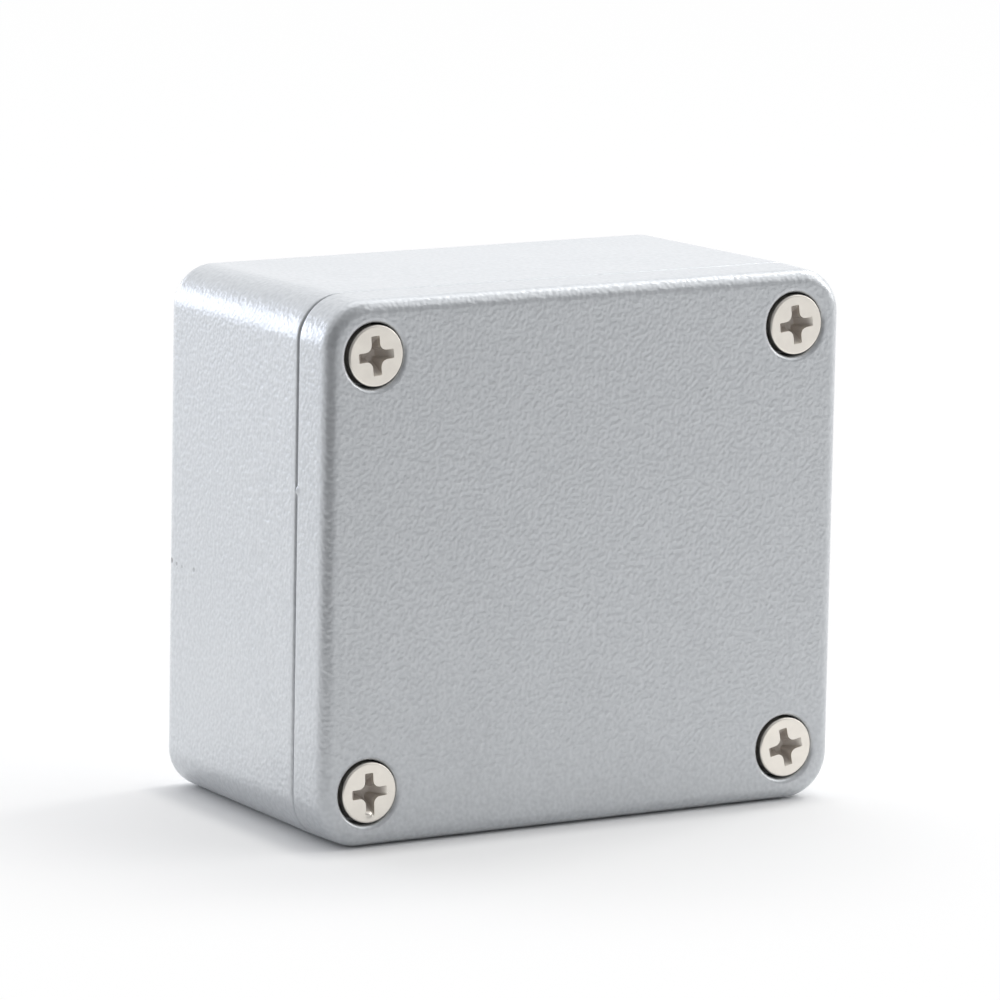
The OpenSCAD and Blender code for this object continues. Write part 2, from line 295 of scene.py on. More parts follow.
def round_outline(centre, radius, steps):
    """Outline of a round hole or boss."""
    return chain([(centre, radius, quarter, 90) for quarter in QUARTERS], radius, steps // 4)


def plan_outline(sizes, pitch):
    """Outline of the box at its parting line."""
    x = sizes.width / 2 - sizes.corner_r
    y = sizes.height / 2 - sizes.corner_r
    corners = [((x, y), 0), ((-x, y), 90), ((-x, -y), 180), ((x, -y), 270)]
    return chain([(centre, sizes.corner_r, start, 90) for centre, start in corners], pitch)


def track_outline(sizes, screws, pitch):
    """Outline along the middle of the seal, which follows the walls and steps inside the four posts."""
    out_r = screws.inset - sizes.wall_t + sizes.tongue_w / 2
    in_r = sizes.post_bend_r
    bend = in_r + out_r
    x = sizes.width / 2 - screws.inset
    y = sizes.height / 2 - screws.inset
    mount_y = y - sizes.mount_offset
    half = [
        ((x - bend, -y), out_r, 270, 90),
        ((x, -y), in_r, 180, -90),
        ((x, bend - y), out_r, 270, 90),
        ((x, mount_y - bend), out_r, 0, 90),
        ((x, mount_y), in_r, 270, -90),
        ((x - bend, y), out_r, 0, 90),
    ]
    other = [((-centre[0], -centre[1]), r, start + 180, turn) for centre, r, start, turn in half]
    return chain(half + other, pitch)


def section(corners, pitch, round_steps=4):
    """Points along a section with rounded corners.

    A corner is (offset, z, rounding, grain), where grain is how strongly the paint's grain shows there.
    Rounding and grain are 0 where they are left out.
    """
    corners = [(*corner, 0, 0)[:4] for corner in corners]
    points = []
    for i, (offset, z, radius, grain) in enumerate(corners):
        here = np.array([offset, z])
        if radius == 0 or i in (0, len(corners) - 1):
            points.append((offset, z, grain))
            continue
        before, after = (unit(np.array(corners[j][:2]) - here) for j in (i - 1, i + 1))
        half = math.acos(before @ after) / 2
        centre = here + unit(before + after) * radius / math.sin(half)
        first, last = (here + way * radius / math.tan(half) - centre for way in (before, after))
        start = math.atan2(first[1], first[0])
        turn = (math.atan2(last[1], last[0]) - start + math.pi) % (2 * math.pi) - math.pi
        steps = max(round_steps, math.ceil(abs(turn) * radius / pitch))
        for way in start + turn * np.linspace(0, 1, steps + 1):
            points.append((centre[0] + radius * math.cos(way), centre[1] + radius * math.sin(way), grain))
    spread = [np.array(points[0])]
    for point in points[1:]:
        step = np.array(point) - spread[-1]
        count = max(1, math.ceil(math.hypot(step[0], step[1]) / pitch - STEP_SLACK))
        spread.extend([spread[-1] + step * share for share in np.arange(1, count + 1) / count])
    return spread


def unit(vector):
    """The vector at length 1."""
    return vector / np.linalg.norm(vector)


def inside(points, outlines):
    """Which points lie inside the first outline and outside the others."""
    crossings = np.zeros(len(points), int)
    for outline in outlines:
        ends = np.roll(outline, -1, axis=0)
        for first in range(0, len(points), BATCH):
            batch = slice(first, first + BATCH)
            x, y = points[batch, 0, None], points[batch, 1, None]
            spans = (outline[:, 1] > y) != (ends[:, 1] > y)
            rise = np.where(ends[:, 1] == outline[:, 1], 1, ends[:, 1] - outline[:, 1])
            at = outline[:, 0] + (y - outline[:, 1]) * (ends[:, 0] - outline[:, 0]) / rise
            crossings[batch] += (spans & (at > x)).sum(axis=1)
    return crossings % 2 == 1


def lattice(outlines, pitch):
    """Even points inside the first outline and outside the others, clear of all of them."""
    low, high = outlines[0].min(axis=0), outlines[0].max(axis=0)
    across = np.arange(low[0], high[0], pitch)
    rows = np.arange(low[1] + pitch / 2, high[1], pitch * math.sqrt(3) / 2)
    points = np.vstack([np.column_stack([across + j % 2 * pitch / 2, np.full(len(across), y)])
                        for j, y in enumerate(rows)])
    points = points[inside(points, outlines)]
    border = np.vstack(outlines)
    tree = KDTree(len(border))
    for i, (x, y) in enumerate(border):
        tree.insert((x, y, 0), i)
    tree.balance()
    clear = [tree.find((x, y, 0))[2] > CLEAR_SHARE * pitch for x, y in points]
    return points[np.array(clear, bool)]


def stand(points):
    """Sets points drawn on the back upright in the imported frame."""
    return np.column_stack([points[:, 0], BOX_HIGH.y - points[:, 2], points[:, 1] + MIDDLE_Z])


class Skin:
    """Collects the points and faces of a closed surface, drawn lying on its back.

    A section that is swept from the outside over the rim to the inside has its faces outwards.
    """

    def __init__(self, *marks):
        self.points = []
        self.faces = []
        self.marks = {mark: [] for mark in marks}
        self.count = 0

    def add(self, points, **marks):
        """Adds points, with how strongly each mark shows there, and gives their indices."""
        self.points.append(points)
        for mark, values in self.marks.items():
            values.append(np.broadcast_to(marks.get(mark, 0.0), len(points)))
        self.count += len(points)
        return np.arange(self.count - len(points), self.count)

    def ring(self, outline, z, **marks):
        """Adds an outline at one height."""
        return self.add(np.column_stack([outline, np.full(len(outline), z)]), **marks)

    def bridge(self, first, second):
        """Joins two rings of as many points by a band of faces."""
        self.faces.append(np.column_stack([first, np.roll(first, -1), np.roll(second, -1), second]))

    def sweep(self, outline, points, **marks):
        """Sweeps a section round an outline and gives its first and last ring."""
        rings = [self.ring(outline(offset), z, grain=grain, **marks) for offset, z, grain in points]
        for first, second in zip(rings, rings[1:]):
            self.bridge(first, second)
        return rings[0], rings[-1]

    def cap(self, ring, z, up, **marks):
        """Closes a ring with a cone to a point over its middle."""
        middle = np.vstack(self.points)[ring].mean(axis=0)
        tip = self.add(np.array([[middle[0], middle[1], z]]), **marks)
        fan = np.column_stack([ring, np.roll(ring, -1), np.full(len(ring), tip[0])])
        self.faces.append(fan if up else fan[:, ::-1])

    def plate(self, rim, holes, pitch, up, **marks):
        """Fills the flat between a ring and the rings inside it with even triangles."""
        known = np.vstack(self.points)
        outlines = [known[ring][:, :2] for ring in (rim, *holes)]
        inner = lattice(outlines, pitch)
        added = self.ring(inner, known[rim[0], 2], **marks)
        index = np.concatenate([rim, *holes, added])
        flat = np.vstack([*outlines, inner])
        edges, first = [], 0
        for outline in outlines:
            count = len(outline)
            edges += [(first + i, first + (i + 1) % count) for i in range(count)]
            first += count
        places = [Vector(point) for point in flat / MM]
        _, _, faces, origins, _, _ = delaunay_2d_cdt(places, edges, [], 0, MERGE_WITHIN)
        corners = np.array([[origins[v][0] for v in face] for face in faces])
        corners = corners[inside(flat[corners].mean(axis=1), outlines)]
        self.faces.append(index[corners if up else corners[:, ::-1]])

    def mesh(self, name, upright=True):
        """The surface as a mesh, with its marks as point attributes."""
        made = bpy.data.meshes.new(name)
        points = np.vstack(self.points)
        faces = [face for block in self.faces for face in block.tolist()]
        made.from_pydata((stand(points) if upright else points).tolist(), [], faces)
        for mark, values in self.marks.items():
            attribute = made.attributes.new(mark, "FLOAT", "POINT")
            attribute.data.foreach_set("value", np.concatenate(values).astype(np.float32))
        made.shade_smooth()
        made.set_sharp_from_angle(angle=SHARP_ANGLE)
        return made


# Node trees

# Sums of vectors that give a number
NUMBER_SUMS = ("LENGTH", "DISTANCE", "DOT_PRODUCT")
# Unevenness of the painted edges: waves to a metre, and how many finer waves lie on them
WAVER_SCALE = 260.0
WAVER_DETAIL = 2.0
# Steepness of a thread's flanks, where above 1 its bottom is flat
THREAD_FLANK = 2.3


def add_node(tree, kind, sockets=None, **settings):
    """Adds a node, with its settings and with values or links for its input sockets."""
    made = tree.nodes.new(kind)
    for key, value in settings.items():
        setattr(made, key, value)
    fill(tree, made, sockets or {})
    return made


def fill(tree, node, sockets):
    """Sets or links input sockets of a node."""
    for key, value in sockets.items():
        if isinstance(value, bpy.types.NodeSocket):
            tree.links.new(value, node.inputs[key])
        else:
            node.inputs[key].default_value = value


def math_node(tree, operation, *values):
    """Adds a sum of numbers and sockets, and gives its output."""
    return add_node(tree, "ShaderNodeMath", dict(enumerate(values)), operation=operation).outputs[0]


def vector_node(tree, operation, *values):
    """Adds a sum of vectors and sockets, and gives its output."""
    made = add_node(tree, "ShaderNodeVectorMath", dict(enumerate(values)), operation=operation)
    return made.outputs["Value" if operation in NUMBER_SUMS else "Vector"]


def scaled(tree, vector, size):
    """A vector times a number."""
    sockets = {0: vector, "Scale": size}
    return add_node(tree, "ShaderNodeVectorMath", sockets, operation="SCALE").outputs["Vector"]


def apart(tree, vector):
    """The three outputs of a vector, by axis."""
    return add_node(tree, "ShaderNodeSeparateXYZ", {"Vector": vector}).outputs


def noise(tree, vector, scale, detail):
    """Adds a noise, and gives its height from 0 to 1."""
    sockets = {"Vector": vector, "Scale": scale, "Detail": detail}
    return add_node(tree, "ShaderNodeTexNoise", sockets).outputs[0]


def ranged(tree, value, low, high):
    """Stretches a number from 0 to 1 over another range."""
    sockets = {"Value": value, "To Min": low, "To Max": high}
    return add_node(tree, "ShaderNodeMapRange", sockets).outputs["Result"]


def ease(tree, value, start, end, low, high):
    """Goes smoothly from one number or socket to another while a value goes from its start to its end."""
    sockets = {"Value": value, "From Min": start, "From Max": end, "To Min": low, "To Max": high}
    made = add_node(tree, "ShaderNodeMapRange", sockets, interpolation_type="SMOOTHSTEP")
    return made.outputs["Result"]


def own_place(tree):
    """Place of a point in its own object."""
    return add_node(tree, "ShaderNodeTexCoord").outputs["Object"]


def named(tree, name):
    """A point attribute in a geometry tree."""
    made = add_node(tree, "GeometryNodeInputNamedAttribute", {"Name": name}, data_type="FLOAT")
    return made.outputs["Attribute"]


def moved(tree, geometry, offset):
    """Moves the points of a geometry."""
    sockets = {"Geometry": geometry, "Offset": offset}
    return add_node(tree, "GeometryNodeSetPosition", sockets).outputs["Geometry"]


def swing(tree, waves, depth, mark):
    """Swings a noise about zero, as deep as a number says and as strongly as a point attribute says."""
    swung = math_node(tree, "MULTIPLY", math_node(tree, "SUBTRACT", waves, 0.5), depth)
    return math_node(tree, "MULTIPLY", swung, named(tree, mark))


def new_tree(name, kind, inputs, outputs):
    """New node group with sockets of named kinds, and its input and output nodes."""
    tree = bpy.data.node_groups.new(name, kind)
    for way, sockets in (("INPUT", inputs), ("OUTPUT", outputs)):
        for socket, socket_kind in sockets.items():
            tree.interface.new_socket(socket, in_out=way, socket_type="NodeSocket" + socket_kind)
    return tree, tree.nodes.new("NodeGroupInput"), tree.nodes.new("NodeGroupOutput")


def shape_by_nodes(name, mesh, tree, values):
    """Object whose mesh is what a geometry tree makes of another mesh."""
    made = bpy.data.objects.new(name, mesh)
    bpy.context.scene.collection.objects.link(made)
    modifier = made.modifiers.new(tree.name, "NODES")
    modifier.node_group = tree
    for socket in tree.interface.items_tree:
        if socket.in_out == "INPUT" and socket.name in values:
            modifier[socket.identifier] = values[socket.name]
    shaped = made.evaluated_get(bpy.context.evaluated_depsgraph_get())
    result = bpy.data.meshes.new_from_object(shaped)
    result.name = name
    made.modifiers.remove(modifier)
    made.data = result
    return made


def hammered_tree():
    """Geometry tree that gives a painted casting its grain and its uneven edges at the parting line."""
    tree, given, result = new_tree(
        "Hammered skin", "GeometryNodeTree",
        {"Geometry": "Geometry", "Grain Size": "Float", "Grain Depth": "Float", "Waver": "Float",
         "Material": "Material"},
        {"Geometry": "Geometry"})
    where = add_node(tree, "GeometryNodeInputPosition").outputs["Position"]
    normal = add_node(tree, "GeometryNodeInputNormal").outputs["Normal"]
    scale = math_node(tree, "DIVIDE", 1.0, given.outputs["Grain Size"])
    height = swing(tree, noise(tree, where, scale, 0.0), given.outputs["Grain Depth"], "grain")
    skin = moved(tree, given.outputs["Geometry"], scaled(tree, normal, height))
    waves = noise(tree, where, WAVER_SCALE, WAVER_DETAIL)
    sway = swing(tree, waves, given.outputs["Waver"], "edge")
    shift = add_node(tree, "ShaderNodeCombineXYZ", {"Y": sway}).outputs["Vector"]
    finish_tree(tree, moved(tree, skin, shift), given, result)
    return tree


def finish_tree(tree, geometry, given, result):
    """Ends a geometry tree in plain geometry with its material."""
    plain = add_node(tree, "GeometryNodeRealizeInstances", {"Geometry": geometry})
    coated = add_node(tree, "GeometryNodeSetMaterial",
                      {"Geometry": plain.outputs["Geometry"], "Material": given.outputs["Material"]})
    tree.links.new(coated.outputs["Geometry"], result.inputs["Geometry"])


def screw_set_tree():
    """Geometry tree that cuts the threads and sets a screw at each point, turned as the point says."""
    tree, given, result = new_tree(
        "Screw set", "GeometryNodeTree",
        {"Geometry": "Geometry", "Screw": "Object", "Slipped Screw": "Object", "Thread Pitch": "Float",
         "Thread Depth": "Float", "Lift": "Vector", "Material": "Material"},
        {"Geometry": "Geometry"})
    is_slipped = math_node(tree, "GREATER_THAN", named(tree, "slipped"), 0.5)
    is_plain = math_node(tree, "SUBTRACT", 1.0, is_slipped)
    spin = add_node(tree, "ShaderNodeCombineXYZ", {"Z": named(tree, "turn")})
    joined = add_node(tree, "GeometryNodeJoinGeometry")
    for source, chosen in (("Screw", is_plain), ("Slipped Screw", is_slipped)):
        info = add_node(tree, "GeometryNodeObjectInfo", {"Object": given.outputs[source]})
        threaded = cut_thread(tree, info.outputs["Geometry"], given)
        placed = add_node(tree, "GeometryNodeInstanceOnPoints",
                          {"Points": given.outputs["Geometry"], "Selection": chosen, "Instance": threaded,
                           "Rotation": spin.outputs["Vector"]})
        tree.links.new(placed.outputs["Instances"], joined.inputs["Geometry"])
    upright = add_node(tree, "GeometryNodeTransform",
                       {"Geometry": joined.outputs["Geometry"], "Translation": given.outputs["Lift"],
                        "Rotation": (math.pi / 2, 0, 0)})
    finish_tree(tree, upright.outputs["Geometry"], given, result)
    return tree


def cut_thread(tree, geometry, given):
    """Presses a helical groove into the points marked as thread."""
    axes = apart(tree, add_node(tree, "GeometryNodeInputPosition").outputs["Position"])
    around = math_node(tree, "DIVIDE", math_node(tree, "ARCTAN2", axes["Y"], axes["X"]), 2 * math.pi)
    along = math_node(tree, "DIVIDE", axes["Z"], given.outputs["Thread Pitch"])
    groove = math_node(tree, "PINGPONG", math_node(tree, "SUBTRACT", along, around), 0.5)
    groove = math_node(tree, "MINIMUM", math_node(tree, "MULTIPLY", groove, THREAD_FLANK), 1.0)
    groove = math_node(tree, "MULTIPLY", groove, given.outputs["Thread Depth"])
    groove = math_node(tree, "MULTIPLY", groove, named(tree, "thread"))
    flat = add_node(tree, "ShaderNodeCombineXYZ", {"X": axes["X"], "Y": axes["Y"]})
    outward = vector_node(tree, "NORMALIZE", flat.outputs["Vector"])
    return moved(tree, geometry, scaled(tree, outward, math_node(tree, "MULTIPLY", groove, -1.0)))


# Finishes

# How many finer waves lie on the slow change of a tone
TONE_DETAIL = 3.0
# A chip fades out between these shares of its radius
CHIP_FADE = (0.5, 1.2)
# Paint: size of its slow changes, how far painted shade darkens the hollows of its grain, its roughness,
# and its least grain
PAINT_PATCH = 9 * MM
PAINT_SHADING = (-0.2, 1.2)
PAINT_ROUGHNESS = (0.30, 0.44)
LEAST_GRAIN = 0.2
# Plating: size, slow changes, stretch and depth of its brush marks, and how far they change it
BRUSH_SIZE = 0.18 * MM
BRUSH_PATCH = 1.6 * MM
BRUSH_STRETCH = (1, 0.25, 1)
BRUSH_DEPTH = 0.002 * MM
BRUSH_SHADING = (-0.4, 1.2)
BRUSH_SHADE = 0.86
SMOOTHER, ROUGHER = 0.06, 0.08
# Dirt and painted shade in a recess: how much rougher and how metallic it is, and how much darker it makes
# zinc
DIRT_ROUGHNESS = 0.25
DIRT_METAL = 0.5
ZINC_DIRT_AND_SHADE = 0.5
# Rubber: size, slow changes and depth of its grain, its pale bloom and its roughness
RUBBER_GRAIN = 0.3 * MM
RUBBER_PATCH = 4 * MM
RUBBER_DEPTH = 0.01 * MM
RUBBER_BLOOM = 2.2
RUBBER_ROUGHNESS = (0.55, 0.8)
# Small knocks on the left wall near the back: height above the back, place up the wall, radius, strength
CHIP_X = -31.55 * MM
CHIPS = [
    (1.6 * MM, -3.5 * MM, 0.36 * MM, 1.0),
    (2.8 * MM, -3.7 * MM, 0.24 * MM, 0.5),
    (4.0 * MM, -3.8 * MM, 0.22 * MM, 0.4),
    (6.7 * MM, -3.7 * MM, 0.3 * MM, 0.45),
]


def fine_grain_group():
    """Shader group with the bumps of a surface, from 0 to 1, and the slow change of its tone."""
    tree, given, result = new_tree(
        "Fine grain", "ShaderNodeTree",
        {"Grain Size": "Float", "Patch Size": "Float", "Stretch": "Vector"},
        {"Bumps": "Float", "Tone": "Float"})
    drawn = vector_node(tree, "MULTIPLY", own_place(tree), given.outputs["Stretch"])
    for output, size, detail in (("Bumps", "Grain Size", 0.0), ("Tone", "Patch Size", TONE_DETAIL)):
        scale = math_node(tree, "DIVIDE", 1.0, given.outputs[size])
        tree.links.new(noise(tree, drawn, scale, detail), result.inputs[output])
    return tree


def spot_group():
    """Shader group that is 1 inside a small spot and fades out round it."""
    tree, given, result = new_tree(
        "Chipped spot", "ShaderNodeTree", {"Middle": "Vector", "Radius": "Float"}, {"Mask": "Float"})
    away = vector_node(tree, "DISTANCE", own_place(tree), given.outputs["Middle"])
    share = math_node(tree, "DIVIDE", away, given.outputs["Radius"])
    tree.links.new(ease(tree, share, *CHIP_FADE, 1.0, 0.0), result.inputs["Mask"])
    return tree


def new_finish(name):
    """New material, with its tree and its shader."""
    made = bpy.data.materials.new(name)
    made.use_nodes = True
    return made, made.node_tree, made.node_tree.nodes["Principled BSDF"]


def grain_node(tree, size, patch, stretch=(1, 1, 1)):
    """Places the shared grain in a material."""
    group = bpy.data.node_groups.get("Fine grain") or fine_grain_group()
    return place_group(tree, group, {"Grain Size": size, "Patch Size": patch, "Stretch": stretch})


def place_group(tree, group, values):
    """Places a shader group in a material with its own values."""
    return add_node(tree, "ShaderNodeGroup", values, node_tree=group)


def blend(tree, share, first, second):
    """Mixes two colours by a share, and gives the colour."""
    values = {"Factor": share, "A": first, "B": second}
    made = add_node(tree, "ShaderNodeMix", data_type="RGBA")
    fill(tree, made, {i: values[socket.name] for i, socket in enumerate(made.inputs) if socket.enabled})
    return next(socket for socket in made.outputs if socket.enabled)


def opaque(colour_value):
    """A colour with full alpha."""
    return (*colour_value, 1.0)


def attribute_value(tree, name):
    """A point attribute of the piece."""
    return add_node(tree, "ShaderNodeAttribute", attribute_name=name).outputs["Fac"]


def bump(tree, shader, height):
    """Feeds a height in metres to the shader's normal."""
    made = add_node(tree, "ShaderNodeBump", {"Height": height, "Strength": 1.0, "Distance": 1.0})
    tree.links.new(made.outputs["Normal"], shader.inputs["Normal"])


def hammered_coat():
    """Silver-grey paint with a hammered grain, cut to bare metal where the casting was machined."""
    look = bpy.context.scene.junction_finish
    material, tree, shader = new_finish("hammered_coat")
    fine = grain_node(tree, look.fine_size, PAINT_PATCH)
    coarse = grain_node(tree, look.grain_size, PAINT_PATCH)
    bare = attribute_value(tree, "bare")
    spots = bpy.data.node_groups.get("Chipped spot") or spot_group()
    chipped = 0.0
    for z, y, radius, strength in CHIPS:
        middle = stand(np.array([[CHIP_X, y, z]]))[0]
        spot = place_group(tree, spots, {"Middle": middle, "Radius": radius})
        worn = math_node(tree, "MULTIPLY", spot.outputs["Mask"], strength)
        chipped = math_node(tree, "MAXIMUM", chipped, worn)
    # Painted shade and light: the paint is darker in the grain's hollows and lighter on its ridges
    shading = ranged(tree, coarse.outputs["Bumps"], *PAINT_SHADING)
    paint = blend(tree, shading, opaque(look.painted_hollow_shade), opaque(look.paint))
    paint = blend(tree, chipped, paint, opaque(look.chip))
    fill(tree, shader, {
        "Base Color": blend(tree, bare, paint, opaque(look.bare)),
        "Roughness": ranged(tree, fine.outputs["Tone"], *PAINT_ROUGHNESS),
        "Metallic": look.paint_metal,
        "Coat Weight": look.coat_weight,
        "Coat Roughness": look.coat_roughness,
    })
    grain = math_node(tree, "MULTIPLY", fine.outputs["Bumps"], look.fine_depth)
    grain = math_node(tree, "MULTIPLY_ADD", coarse.outputs["Bumps"], look.grain_depth, grain)
    grain = math_node(tree, "MULTIPLY", grain, math_node(tree, "SUBTRACT", 1.0, bare))
    strength = ranged(tree, attribute_value(tree, "grain"), LEAST_GRAIN, 1.0)
    grain = math_node(tree, "MULTIPLY", grain, strength)
    half_turn = bpy.context.scene.junction_screws.thread_pitch / 2
    turns = math_node(tree, "PINGPONG", apart(tree, own_place(tree))["Y"], half_turn)
    turns = math_node(tree, "MULTIPLY", turns, attribute_value(tree, "tap"))
    dent = math_node(tree, "MULTIPLY", chipped, -look.chip_depth)
    bump(tree, shader, math_node(tree, "ADD", math_node(tree, "ADD", grain, turns), dent))
    return material


def plated(name, plating, dirt_and_shade, roughness):
    """Plated steel, dull and darker deep in a recess, from soiling and from painted shade there."""
    material, tree, shader = new_finish(name)
    brushed = grain_node(tree, BRUSH_SIZE, BRUSH_PATCH, BRUSH_STRETCH)
    tone = brushed.outputs["Tone"]
    recess = attribute_value(tree, "recess")
    shade = opaque([BRUSH_SHADE * part for part in plating])
    metal = blend(tree, ranged(tree, tone, *BRUSH_SHADING), shade, opaque(plating))
    dull = math_node(tree, "MULTIPLY", recess, DIRT_ROUGHNESS)
    satin = ranged(tree, tone, roughness - SMOOTHER, roughness + ROUGHER)
    # Painted shade and dirt: the recess darkens and dulls towards its bottom
    fill(tree, shader, {
        "Base Color": blend(tree, recess, metal, opaque(dirt_and_shade)),
        "Roughness": math_node(tree, "ADD", satin, dull),
        "Metallic": ranged(tree, recess, 1.0, DIRT_METAL),
    })
    bump(tree, shader, math_node(tree, "MULTIPLY", brushed.outputs["Bumps"], BRUSH_DEPTH))
    return material


def matt_rubber():
    """Matt black rubber."""
    rubber = bpy.context.scene.junction_finish.rubber
    material, tree, shader = new_finish("matt_rubber")
    grain = grain_node(tree, RUBBER_GRAIN, RUBBER_PATCH)
    bloom = opaque([RUBBER_BLOOM * part for part in rubber])
    fill(tree, shader, {
        "Base Color": blend(tree, grain.outputs["Tone"], opaque(rubber), bloom),
        "Roughness": ranged(tree, grain.outputs["Bumps"], *RUBBER_ROUGHNESS),
    })
    bump(tree, shader, math_node(tree, "MULTIPLY", grain.outputs["Bumps"], RUBBER_DEPTH))
    return material


def finish(name):
    """A finish by its name, made when it is first asked for."""
    look = bpy.context.scene.junction_finish
    # Zinc darkened in a recess by dirt and painted shade
    zinc_dirt_and_shade = [ZINC_DIRT_AND_SHADE * part for part in look.zinc]
    makers = {
        "hammered_coat": hammered_coat,
        "matt_rubber": matt_rubber,
        "nickel_plating": lambda: plated(name, look.nickel, look.grime_and_shade, look.nickel_roughness),
        "zinc_plating": lambda: plated(name, look.zinc, zinc_dirt_and_shade, look.zinc_roughness),
    }
    return bpy.data.materials.get(name) or makers[name]()


def settle(piece, body, slot, *nodes):
    """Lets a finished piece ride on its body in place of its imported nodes."""
    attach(piece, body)
    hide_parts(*nodes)


def add_piece(skin, name, material, body, slot, node):
    """Turns a surface that is drawn in full into a finished piece."""
    mesh = skin.mesh(name)
    mesh.materials.append(finish(material))
    piece = bpy.data.objects.new(name, mesh)
    bpy.context.scene.collection.objects.link(piece)
    settle(piece, body, slot, node)


# Castings and seal

# Distance between points: on the painted outside, the back, the inside, and along the seal and other parts
FINE_PITCH = {"base": 0.36 * MM, "lid": 0.29 * MM}
BACK_PITCH = 0.6 * MM
INNER_PITCH = 1.2 * MM
TRACK_PITCH = 0.7 * MM
WALL_PITCH = 2 * MM
HOLE_PITCH = 1.5 * MM
BOSS_TOP_PITCH = 0.8 * MM
MOUTH_PITCH = 0.6 * MM
GASKET_PITCH = 0.6 * MM
# Steps round a hole, round a counterbore and over its lip
HOLE_STEPS = 48
MOUTH_STEPS = 96
LIP_STEPS = 8
# How strongly the grain shows at edges and inside, where it is 1 on the open faces
BACK_EDGE_GRAIN = 0.7
LID_EDGE_GRAIN = 0.6
RIM_GRAIN = 0.3
MOUTH_GRAIN = 0.5
INNER_GRAIN = 0.4
# Share of the grain's depth that is in the shape, and reach of the uneven edges in roundings of the rim
GRAIN_IN_SHAPE = 0.2
EDGE_REACH = 2
# Room that a section leaves beside a rounding, as shares of the rounding's radius
FILLET_ROOM = 1.3
PANEL_ROOM = 1.1
LIP_ROOM = 1.02
RIM_ROOM = 3
FLAT_ROOM = 2
# Roundings of small edges, and the narrow land beside some of them
TONGUE_ROUND = 0.25 * MM
LAND = 0.12 * MM
LAND_ROUND = 0.8 * LAND
CHANNEL_ROUND = 0.2 * MM
BOSS_ROUND = 0.3 * MM
LID_ROUND = 0.2 * MM
GROOVE_ROUND = 0.1 * MM
SEAT_ROUND = 0.15 * MM
GASKET_ROUND = 0.25 * MM
# Tapped holes: countersink, land round it, and depth of the drill's point as a share of the radius
TAP_MOUTH = 0.3 * MM
TAP_LAND = 0.05 * MM
DRILL_POINT = 0.6
# Drop of paint at the parting line of the left wall: place up the wall, size, reach and swelling
BRIDGE_Y = 8.5 * MM
BRIDGE_SIZE = 0.32 * MM
BRIDGE_REACH = 0.095 * MM
BRIDGE_SWELL = 0.28 * MM


def base_rim(sizes):
    """Height of the base's rim above the back."""
    return above_back(BASE_LOW.y) - sizes.tongue_h


def screw_places(sizes, screws):
    """Middles of the lid screws, from the upper right one round by the left."""
    x = sizes.width / 2 - screws.inset
    y = sizes.height / 2 - screws.inset
    return [(x, y), (-x, y), (-x, -y), (x, -y)]


def mount_places(sizes, screws):
    """Middles of the two mounting holes."""
    x, y = screw_places(sizes, screws)[0]
    return [(x, y - sizes.mount_offset), (-x, sizes.mount_offset - y)]


def earth_place():
    """Middle of the earth terminal."""
    return (WASHER_LOW.x + WASHER_HIGH.x) / 2, (WASHER_LOW.z + WASHER_HIGH.z) / 2 - MIDDLE_Z


def tapped_hole(skin, centre, radius, top, bottom):
    """Adds a tapped blind hole with a countersunk mouth, and gives the ring at its mouth."""
    points = section([(TAP_MOUTH + TAP_LAND, top), (TAP_MOUTH, top), (0, top - TAP_MOUTH), (0, bottom)],
                     WALL_PITCH)
    first, last = skin.sweep(round_outline(centre, radius, HOLE_STEPS), points, bare=1.0, tap=1.0)
    skin.cap(last, bottom - DRILL_POINT * radius, True, bare=1.0)
    return first


def bridge_paint(skin, sizes, way):
    """Lets a drop of paint swell the rim on the left wall, outwards and upwards or downwards."""
    rim_z = sizes.lid_start - way * BRIDGE_REACH
    for points in skin.points:
        near = ((points - (-sizes.width / 2, BRIDGE_Y, rim_z)) ** 2).sum(axis=1)
        swell = np.exp(-near / BRIDGE_SIZE ** 2)
        points[:, 0] -= BRIDGE_SWELL * swell
        points[:, 2] += way * BRIDGE_REACH * swell


